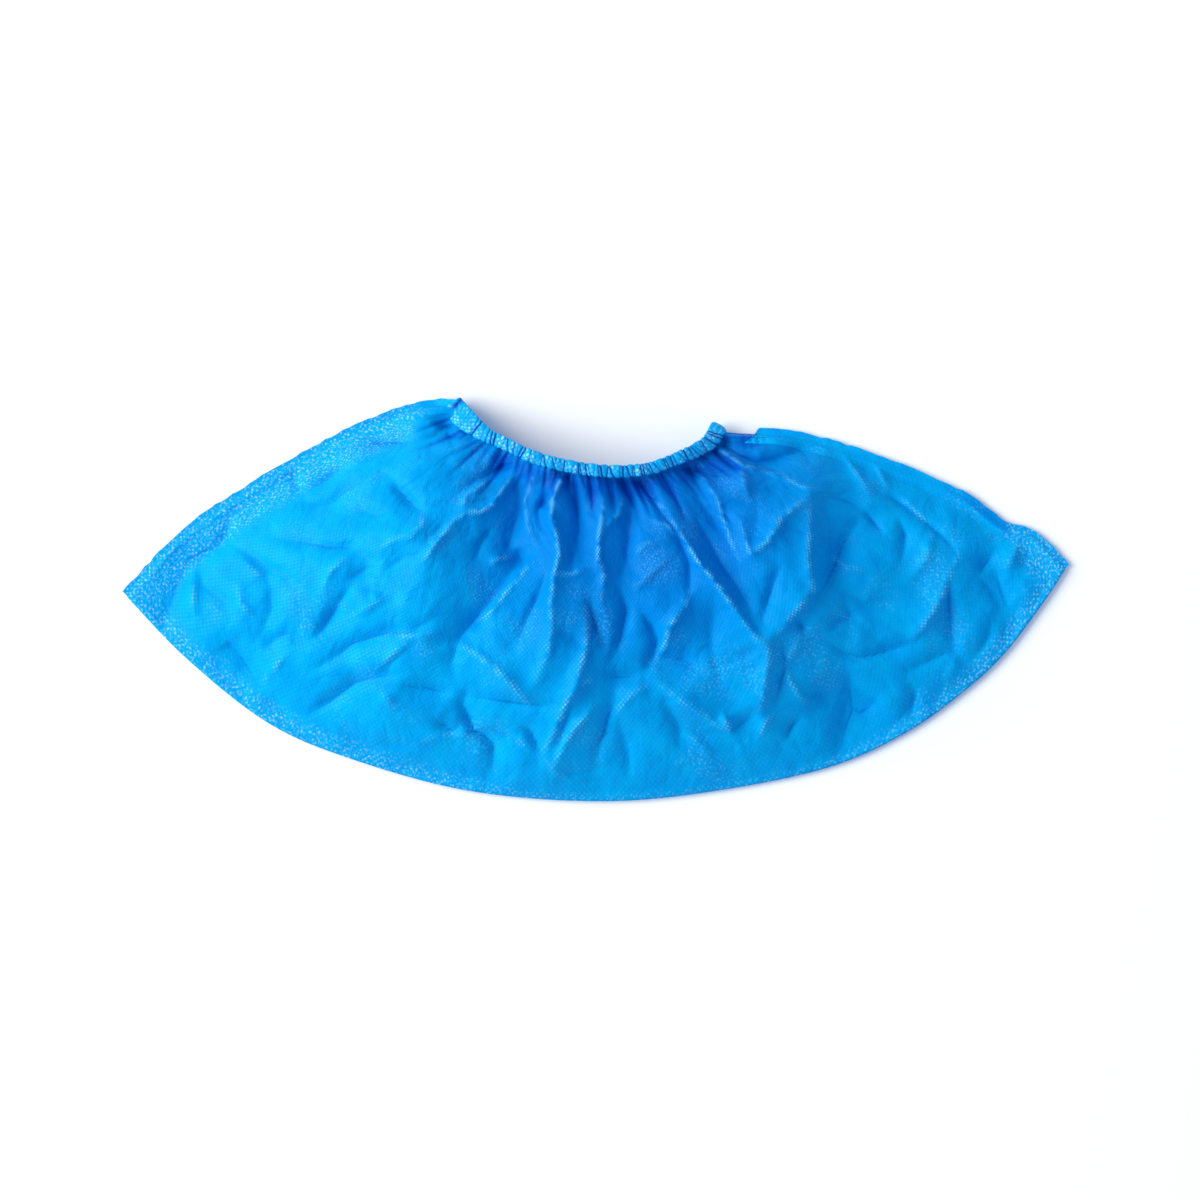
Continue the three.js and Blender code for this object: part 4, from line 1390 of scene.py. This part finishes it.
@dataclass
class WeldStrip:
    """One welded end: both layers fused into a flat, slightly wavy strip outside the pouch.

    Attributes:
        pouch: The pouch that it closes.
        name: The piece's name.
        toe: True for the toe end.
        steps: Faces along and across.
        start: Distance from the pouch at which it begins, in millimetres.
        width: Width of the strip.
        thickness: Its thickness.
        cover: How far it stands over the pouch's rim.
        reach: Share of the end that it covers.
        taper: Where it narrows before the collar, as shares of itself.
        wobble: How far its free edge wanders.
        band_shade: How dark the painted shade on the strip is, halfway along, from 0 to 1.
        seed: Start of the random draws.
    """

    pouch: Pouch
    name: str
    toe: bool
    steps: tuple[int, int] = (260, 14)
    start: float = -4.0
    width: float = 6.5
    thickness: float = 0.8
    cover: float = 0.1
    reach: Pair = (0.002, 1.0)
    taper: Pair = (0.0, 0.02)
    wobble: float = 0.35
    band_shade: float = 0.0
    seed: int = 7

    KNOTS = 60  # points between which the strip wanders and waves
    HANG = 0.4  # how far its free part hangs below the pouch's rim, in millimetres
    WAVE = 0.2  # how far it waves above and below that
    SHADE_START = (0.14, 0.2)  # shares up between which the painted shade begins
    SHADE_END = (0.26, 0.5)  # shares up between which it ends
    SHADE_EDGE = (-2.4, -1.0)  # distances from the pouch's rim between which it begins, in millimetres

    def build(self) -> bpy.types.Object:
        """Lays the strip along its end and gives it its thickness.

        Returns:
            The finished piece.
        """
        obj, first, across = add_grid(self.name, *self.steps)
        up = self.reach[0] + (self.reach[1] - self.reach[0]) * first
        form = self.pouch.form
        edge = form.toe if self.toe else form.heel
        rng = np.random.default_rng(self.seed)
        knots = np.linspace(0, 1, self.KNOTS)
        wander = np.interp(first, knots, rng.uniform(-1, 1, self.KNOTS)) * self.wobble * across
        wave = np.interp(first, knots, rng.uniform(-self.WAVE, self.WAVE, self.KNOTS))
        taper = ease(1 - first, *self.taper)
        away = self.start + self.width * across * taper + wander * taper
        inside = np.clip(-away, 0, None) / (form.sheet_length * (1 - up) + form.collar_span * up)
        along = inside if self.toe else 1 - inside
        on_cloth = form.plan(along, up)
        level = self.pouch.near_relief(along, up, on_cloth) + self.cover
        level += (wave - self.HANG) * np.clip(away, 0, 1)
        out = turned(edge.heading(up)) * (1 if self.toe else -1)
        place = on_cloth + out * np.clip(away, 0, None)[:, None]
        lay(obj, np.column_stack([place, level]))
        set_cloth_uv(obj.data, np.column_stack([up * edge.length, away]) * MM)
        self.mark(obj.data, along, up, away)
        self.thicken(obj)
        return obj

    def mark(self, mesh: bpy.types.Mesh, along: np.ndarray, up: np.ndarray, away: np.ndarray) -> None:
        """Keeps the numbers that the weld's material reads: its painted glints and its painted shade.

        Args:
            mesh: The strip's mesh.
            along: Shares along.
            up: Shares up.
            away: Distances out from the pouch's rim, in millimetres.
        """
        shade_span = ease(up, *self.SHADE_START) * (1 - ease(up, *self.SHADE_END))
        set_attribute(mesh, GLINT_BAND, glint_band_end(along, up) * MM)
        set_attribute(mesh, PAINTED_SHADE, self.band_shade * shade_span * ease(away, *self.SHADE_EDGE))
        set_attribute(mesh, OPEN, np.zeros_like(up))

    def thicken(self, obj: bpy.types.Object) -> None:
        """Gives the strip its thickness, with smooth faces and crisp borders.

        Args:
            obj: The strip, with no thickness yet.
        """
        if not self.toe:
            edit(obj, bpy.ops.mesh.flip_normals)
        apply_modifier(obj, "SOLIDIFY", thickness=self.thickness * MM, offset=-1.0)
        only(obj)
        bpy.ops.object.shade_smooth()
        keep_borders_crisp(obj)


def linear(code: str) -> tuple[float, float, float, float]:
    """Turns an sRGB hex colour into linear values.

    Args:
        code: The colour, as #rrggbb.

    Returns:
        Red, green and blue, and a full alpha.
    """
    channels = [int(code[i:i + 2], 16) / 255 for i in (1, 3, 5)]
    curve = [c / 12.92 if c <= 0.04045 else ((c + 0.055) / 1.055) ** 2.4 for c in channels]
    return (*curve, 1.0)


def add_node(
    tree: bpy.types.NodeTree, kind: str, sockets: dict[Any, Any] | None = None, output: int | str = 0,
    **settings: Any,
) -> bpy.types.NodeSocket:
    """Adds a shader node with its settings and links.

    Args:
        tree: The material's node tree.
        kind: The node's type, without the words that all of them start with.
        sockets: Inputs by name or number, each a constant or another node's output.
        output: Name or number of the output that is wanted.
        **settings: The node's own settings.

    Returns:
        The output that is wanted.
    """
    node = tree.nodes.new(f"ShaderNode{kind}")
    for name, value in settings.items():
        setattr(node, name, value)
    for key, value in (sockets or {}).items():
        if isinstance(value, bpy.types.NodeSocket):
            tree.links.new(value, node.inputs[key])
        else:
            node.inputs[key].default_value = value
    return node.outputs[output]


def blank_material(name: str) -> tuple[bpy.types.Material, bpy.types.NodeTree, bpy.types.NodeSocket]:
    """Adds a material with nothing but its output.

    Args:
        name: The material's name.

    Returns:
        The material, its node tree, and the socket that its shader is joined to.
    """
    material = bpy.data.materials.new(name)
    material.use_nodes = True
    tree = material.node_tree
    tree.nodes.clear()
    return material, tree, tree.nodes.new("ShaderNodeOutputMaterial").inputs["Surface"]


# Noises of the cloth. A scale is a count for each millimetre.
FIBRES = {"Scale": 1.6, "Detail": 3.0, "Roughness": 0.6}  # clumps of fibre, made coarse enough to show
CLOUDS = {"Scale": 0.09, "Detail": 4.0, "Roughness": 0.6}  # thick and thin patches, about 11 mm apart
BREAKS = {"Scale": 0.16, "Detail": 2.0, "Roughness": 0.6}  # gaps in a crest's painted highlight, about 6 mm apart
GLINT_PATCHES = {"Scale": 0.035, "Detail": 2.0, "Roughness": 0.6}  # patches of painted glints on the side, about 30 mm apart
GLINT_GRAIN = {"Scale": 0.9, "Detail": 1.0, "Roughness": 0.6}  # specks of painted glints in a band, about 1 mm apart
WRINKLES = {"Detail": 1.0, "Roughness": 0.4, "Distortion": 0.6}  # fine wrinkles, whose scales follow
WRINKLE_SCALES = ((0.07, 4.0), (0.19, 1.8))  # the two scales, about 14 and 5 mm, and how deep each goes

# Ranges that are mapped smoothly to 0 and 1, or to what else is said
EASED = {"interpolation_type": "SMOOTHSTEP"}
POINT_EDGE = {"From Min": 0.22, "From Max": 0.4, "To Min": 1.0, "To Max": 0.0}  # a point's radius, in pitches
THINNESS = {"From Min": 0.4, "From Max": 0.8}  # fibres and clouds together
PAINTED_SHADE_RANGE = {"From Min": 0.12, "From Max": 0.8}  # from where a gather's painted shade begins to where it is full
UNBROKEN = {"From Min": 0.38, "From Max": 0.6}  # where a crest's painted highlight shows
GLINT_BAND_EDGE = {"From Min": 0.007, "From Max": 0.013, "To Max": 0.0}  # distance from a weld or the sole fold over which the painted glints fade out, in metres
GLINT_PATCH_RANGE = {"From Min": 0.52, "From Max": 0.7}  # where the side has a patch of painted glints
GLINT_SPECK_RANGE = {"From Min": 0.5, "From Max": 0.64}  # where a band of painted glints has a speck


@dataclass(frozen=True)
class ClothFinish:
    """Spunbond nonwoven: fine bonded fibres with a diagonal grid of embossed points.

    Attributes:
        name: The material's name.
        light: Colour where the fibres lie thin, as sRGB hex.
        deep: Colour where they lie thick.
        clear: Painted shade where the two sides stand apart, for the light that does not come back through
        the cloth. The hem takes it all over as its own colour.
        shade_colour: Painted shade down in the gathers, along the troughs and partway along the heel's strip.
        painted_glint: Colour of the painted glints on crests, beside the welds and the sole fold, and in a
            few patches.
        roughness: Roughness between the points.
        point_roughness: Roughness of the pressed points, which shine a little.
        gloss: Strength of the reflections.
        pitch: Distance between points, in millimetres.
        point_depth: Depth of a point.
        crumple_depth: Depth of the fine wrinkles.
        band_glint: Strength of the painted glints in the band beside a weld, from 0 to 1.
        crest_glint: Strength of the painted glints on a crest's points, from 0 to 1.
    """

    name: str
    light: str
    deep: str
    clear: str
    shade_colour: str
    painted_glint: str
    roughness: float
    point_roughness: float
    gloss: float
    pitch: float
    point_depth: float
    crumple_depth: float
    band_glint: float
    crest_glint: float

    IOR = 1.48  # polypropylene
    DULL = 0.2  # reflections between the points, as a share of those on them
    UNEVEN = 0.12  # how unevenly the points are set
    FIBRE_RELIEF = 0.8  # height of the fibres, as a share of a point's depth
    FIBRE_WEIGHT = 0.55  # what the fibres add to how thin the cloth is
    CLOUD_WEIGHT = 0.6  # what the clouds add
    LIT_CREST_SHARE = 0.5  # how far a crest takes the colour of thin cloth, as a painted highlight
    LEAST_CREST_GLINT = 0.02  # strength of a crest's painted glints between the points
    MIDDLE = 0.5  # level at which a noise is folded into sharp valleys
    PATCH_GLINT_SHARE = 0.35  # strength of the painted glints in a patch, as a share of those in a band
    DOT = 0.3  # strength of a speck between the points, as a share of one on a point

    def material(self) -> bpy.types.Material:
        """Builds the material.

        Returns:
            The material.
        """
        material, tree, surface = blank_material(self.name)
        flat = add_node(tree, "UVMap", uv_map=CLOTH_UV)
        place = add_node(tree, "VectorMath", {0: flat, "Scale": 1 / MM}, operation="SCALE")
        fibres = add_node(tree, "TexNoise", {"Vector": place, **FIBRES}, "Fac")
        points = self.points(tree, place)
        rough = {"Value": points, "To Min": self.roughness, "To Max": self.point_roughness}
        gloss = {"Value": points, "To Min": self.gloss * self.DULL, "To Max": self.gloss}
        shader = add_node(tree, "BsdfPrincipled", {
            "Base Color": self.colour(tree, place, fibres, points),
            "Roughness": add_node(tree, "MapRange", rough, **EASED),
            "IOR": self.IOR,
            "Specular IOR Level": add_node(tree, "MapRange", gloss, **EASED),
            "Normal": self.bumps(tree, place, fibres, points),
        })
        tree.links.new(shader, surface)
        return material

    def points(self, tree: bpy.types.NodeTree, place: bpy.types.NodeSocket) -> bpy.types.NodeSocket:
        """The embossed points, in a grid turned by an eighth.

        Args:
            tree: The material's node tree.
            place: Place on the flat sheet, in millimetres.

        Returns:
            1 on a point and 0 between them.
        """
        grid = add_node(tree, "Mapping", {"Vector": place, "Rotation": (0.0, 0.0, np.pi / 4)})
        cells = {"Vector": grid, "Scale": 1 / self.pitch, "Randomness": self.UNEVEN}
        away = add_node(tree, "TexVoronoi", cells, "Distance", voronoi_dimensions="2D")
        return add_node(tree, "MapRange", {"Value": away, **POINT_EDGE}, **EASED)

    def colour(
        self, tree: bpy.types.NodeTree, place: bpy.types.NodeSocket, fibres: bpy.types.NodeSocket,
        points: bpy.types.NodeSocket,
    ) -> bpy.types.NodeSocket:
        """Colour of the cloth, as tints laid one over another, most of them painted light and shade.

        Args:
            tree: The material's node tree.
            place: Place on the flat sheet, in millimetres.
            fibres: Clumps of fibre.
            points: The embossed points.

        Returns:
            The colour.
        """
        clouds = add_node(tree, "TexNoise", {"Vector": place, **CLOUDS}, "Fac")
        thin = add_node(tree, "Math", {0: fibres, 1: self.FIBRE_WEIGHT}, operation="MULTIPLY")
        thin = add_node(tree, "Math", {0: clouds, 1: self.CLOUD_WEIGHT, 2: thin}, operation="MULTIPLY_ADD")
        thin = add_node(tree, "MapRange", {"Value": thin, **THINNESS}, **EASED)
        parted = add_node(tree, "Attribute", None, "Fac", attribute_name=OPEN)
        gathered = add_node(tree, "Attribute", None, "Fac", attribute_name=PAINTED_SHADE)
        shaded = add_node(tree, "MapRange", {"Value": gathered, **PAINTED_SHADE_RANGE}, **EASED)
        highlight = add_node(tree, "Attribute", None, "Fac", attribute_name=CREST_HIGHLIGHT)
        breaks = add_node(tree, "TexNoise", {"Vector": place, **BREAKS}, "Fac")
        unbroken = add_node(tree, "MapRange", {"Value": breaks, **UNBROKEN}, **EASED)
        highlight = add_node(tree, "Math", {0: highlight, 1: unbroken}, operation="MULTIPLY")
        lit_crest = add_node(tree, "Math", {0: highlight, 1: self.LIT_CREST_SHARE}, operation="MULTIPLY")
        crest_glint = {"Value": points, "To Min": self.LEAST_CREST_GLINT, "To Max": self.crest_glint}
        crest_glints = {0: highlight, 1: add_node(tree, "MapRange", crest_glint, **EASED)}
        crest_glints = add_node(tree, "Math", crest_glints, operation="MULTIPLY")
        band_glints = self.band_glints(tree, place, points)
        glints = add_node(tree, "Math", {0: band_glints, 1: crest_glints}, operation="MAXIMUM")
        # After the cloth's own tone: painted shade where the sides part and in gathers, painted highlights,
        # painted glints
        tints = (
            (thin, self.light), (parted, self.clear), (shaded, self.shade_colour), (lit_crest, self.light),
            (glints, self.painted_glint),
        )
        colour = linear(self.deep)
        for share, tint in tints:
            # A mix of colours takes them at its inputs 6 and 7, and gives its result at its output 2
            colour = add_node(tree, "Mix", {0: share, 6: colour, 7: linear(tint)}, 2, data_type="RGBA")
        return colour

    def band_glints(
        self, tree: bpy.types.NodeTree, place: bpy.types.NodeSocket, points: bpy.types.NodeSocket
    ) -> bpy.types.NodeSocket:
        """Painted glints: pale specks in the band beside a weld or the sole fold, and in a few patches.

        Args:
            tree: The material's node tree.
            place: Place on the flat sheet, in millimetres.
            points: The embossed points.

        Returns:
            Strength of the painted glints, from 0 to 1.
        """
        away = add_node(tree, "Attribute", None, "Fac", attribute_name=GLINT_BAND)
        band = {"Value": away, "To Min": self.band_glint, **GLINT_BAND_EDGE}
        patch_noise = add_node(tree, "TexNoise", {"Vector": place, **GLINT_PATCHES}, "Fac")
        patch_glint = {"Value": patch_noise, "To Max": self.band_glint * self.PATCH_GLINT_SHARE, **GLINT_PATCH_RANGE}
        painted_glint = {0: add_node(tree, "MapRange", band, **EASED), 1: add_node(tree, "MapRange", patch_glint, **EASED)}
        painted_glint = add_node(tree, "Math", painted_glint, operation="MAXIMUM")
        grain = add_node(tree, "TexNoise", {"Vector": place, **GLINT_GRAIN}, "Fac")
        specks = add_node(tree, "MapRange", {"Value": grain, **GLINT_SPECK_RANGE}, **EASED)
        dots = add_node(tree, "MapRange", {"Value": points, "To Min": self.DOT}, **EASED)
        specks = add_node(tree, "Math", {0: specks, 1: dots}, operation="MULTIPLY")
        return add_node(tree, "Math", {0: painted_glint, 1: specks}, operation="MULTIPLY")

    def bumps(
        self, tree: bpy.types.NodeTree, place: bpy.types.NodeSocket, fibres: bpy.types.NodeSocket,
        points: bpy.types.NodeSocket,
    ) -> bpy.types.NodeSocket:
        """Relief too fine for the mesh: points pressed in, fibres, and sharp valleys of fine wrinkles.

        Args:
            tree: The material's node tree.
            place: Place on the flat sheet, in millimetres.
            fibres: Clumps of fibre.
            points: The embossed points.

        Returns:
            The bumped normal.
        """
        wrinkles = 0.0
        for scale, depth in WRINKLE_SCALES:
            level = add_node(tree, "TexNoise", {"Vector": place, "Scale": scale, **WRINKLES}, "Fac")
            level = add_node(tree, "Math", {0: level, 1: self.MIDDLE}, operation="SUBTRACT")
            folded = add_node(tree, "Math", {0: level}, operation="ABSOLUTE")
            wrinkles = add_node(tree, "Math", {0: folded, 1: depth, 2: wrinkles}, operation="MULTIPLY_ADD")
        layers = (
            (points, -self.point_depth), (fibres, self.point_depth * self.FIBRE_RELIEF),
            (wrinkles, self.crumple_depth),
        )
        relief = 0.0
        for height, depth in layers:
            relief = add_node(tree, "Math", {0: height, 1: depth, 2: relief}, operation="MULTIPLY_ADD")
        return add_node(tree, "Bump", {"Height": relief, "Distance": MM, "Strength": 1.0})


@dataclass(frozen=True)
class PlainFinish:
    """A plain finish of one colour.

    Attributes:
        name: The material's name.
        colour: sRGB hex.
        roughness: Roughness.
    """

    name: str
    colour: str
    roughness: float

    def material(self) -> bpy.types.Material:
        """Builds the material.

        Returns:
            The material.
        """
        material, tree, surface = blank_material(self.name)
        plain = {"Base Color": linear(self.colour), "Roughness": self.roughness}
        tree.links.new(add_node(tree, "BsdfPrincipled", plain), surface)
        return material


# Spunbond polypropylene, dyed blue and embossed: nearly matt, with a faint sheen on its points
# Three of its colours are painted: shade where the sides part, shade in the gathers, and glints
NONWOVEN = ClothFinish(
    name="nonwoven", light="#00aae6", deep="#0099e4", clear="#007ad0", shade_colour="#0056bc", painted_glint="#8fd0f6",
    roughness=0.45, point_roughness=0.36, gloss=0.07, pitch=1.45, point_depth=0.035, crumple_depth=0.26,
    band_glint=0.8, crest_glint=0.75,
)

# The same cloth, doubled and drawn up tight, with painted glints on its crests and painted shade in its
# gathers
HEM = ClothFinish(
    name="hem", light="#18c0f6", deep="#06a4ea", clear="#00a0e6", shade_colour="#003ea4", painted_glint="#b4e8fe",
    roughness=0.38, point_roughness=0.3, gloss=0.2, pitch=1.45, point_depth=0.03, crumple_depth=0.1,
    band_glint=0.0, crest_glint=0.9,
)

# The same cloth, fused by heat under a knurled tool: flat, with painted glints as pale specks, and some
# painted shade
WELD = ClothFinish(
    name="weld", light="#00a9e6", deep="#0098e4", clear="#008ce2", shade_colour="#0062ca", painted_glint="#8fd0f6",
    roughness=0.45, point_roughness=0.36, gloss=0.07, pitch=1.45, point_depth=0.035, crumple_depth=0.05,
    band_glint=0.8, crest_glint=0.0,
)

# Flat elastic of rubber wound with yarn: off-white and quite matt
RUBBER = PlainFinish("elastic", "#e9e6dc", 0.8)

# Seamless studio paper: white and matt, with no reflections of the cover
FLOOR = PlainFinish("floor", "#ffffff", 0.9)


def dress(obj: bpy.types.Object, material: bpy.types.Material) -> None:
    """Gives a piece one material."""
    obj.data.materials.clear()
    obj.data.materials.append(material)


@dataclass(frozen=True)
class Studio:
    """A pale floor under a bright sky, one broad light and a camera straight above.

    Attributes:
        floor_size: Side of the floor, in metres.
        floor_drop: How far the floor lies below the cover.
        sky: Strength of the sky.
        sky_tint: Its colour.
        key_tint: Colour of the broad light.
        key_place: Where it hangs.
        key_size: Its side.
        key_power: Its power in watts.
        eye: Where the camera is.
        lens: Its focal length, in millimetres.
    """

    floor_size: float = 8.0
    floor_drop: float = 0.0006
    sky: float = 0.55
    sky_tint: tuple[float, float, float] = (0.8, 0.93, 1.2)
    key_tint: tuple[float, float, float] = (1.0, 0.965, 0.84)
    key_place: tuple[float, float, float] = (-3.0, 0.55, 2.1)
    key_size: float = 2.8
    key_power: float = 180.0
    eye: tuple[float, float, float] = (0.0015, 0.0, 1.054)
    lens: float = 85.0

    def build(self) -> None:
        """Adds the floor, the sky, the light and the camera."""
        bpy.ops.object.select_all(action="DESELECT")
        bpy.ops.mesh.primitive_plane_add(size=self.floor_size, location=(0, 0, -self.floor_drop))
        floor = bpy.context.object
        floor.name = "floor"
        dress(floor, FLOOR.material())
        world = bpy.data.worlds.new("sky")
        world.use_nodes = True
        backdrop = world.node_tree.nodes["Background"]
        backdrop.inputs["Color"].default_value = (*self.sky_tint, 1.0)
        backdrop.inputs["Strength"].default_value = self.sky
        bpy.context.scene.world = world
        light = bpy.data.lights.new("key", "AREA")
        light.size = self.key_size
        light.energy = self.key_power
        light.color = self.key_tint
        lamp = bpy.data.objects.new("key", light)
        lamp.location = self.key_place
        lamp.rotation_euler = Vector(self.key_place).to_track_quat("Z", "Y").to_euler()
        bpy.context.collection.objects.link(lamp)
        camera = bpy.data.objects.new("camera", bpy.data.cameras.new("camera"))
        camera.data.lens = self.lens
        camera.location = self.eye
        bpy.context.collection.objects.link(camera)
        bpy.context.scene.camera = camera
        bpy.context.scene.view_settings.view_transform = "Standard"


@dataclass(frozen=True)
class Piece:
    """One visual piece: how it is built, what it stands for and its finish.

    Attributes:
        build: Builds the mesh.
        node: The frame's node that it replaces.
        slot: The record's material slot. It is not used.
        finish: Its finish.
    """

    build: Callable[[], bpy.types.Object]
    node: str
    slot: str
    finish: ClothFinish | PlainFinish


def add_piece(piece: Piece) -> None:
    """Builds one piece, dresses it and joins it to the frame.

    Args:
        piece: What to build.
    """
    obj = piece.build()
    dress(obj, piece.finish.material())
    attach(obj, "root")
    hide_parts(piece.node)
    faces = sum(len(face.vertices) - 2 for face in obj.data.polygons)
    log.info("%s: %d triangles, for %s", obj.name, faces, piece.node)


def main() -> None:
    """Builds the cover's looks on the frame and sets up the studio."""
    logging.basicConfig(level=logging.INFO, format="%(name)s: %(message)s")
    form = PouchForm()
    pouch = Pouch(form)
    toe_strip = WeldStrip(pouch, "toe_strip", toe=True)
    heel_strip = WeldStrip(pouch, "heel_strip", toe=False, taper=(0.085, 0.115), band_shade=0.42, seed=8)
    pieces = (
        Piece(pouch.build, "upper", "nonwoven", NONWOVEN),
        Piece(CollarHem(form).build, "collar_hem", "hem", HEM),
        Piece(ElasticBand(form).build, "elastic", "elastic", RUBBER),
        Piece(toe_strip.build, "toe_weld", "weld", WELD),
        Piece(heel_strip.build, "heel_weld", "weld", WELD),
    )
    for piece in pieces:
        add_piece(piece)
    Studio().build()


if __name__ == "__main__":
    main()
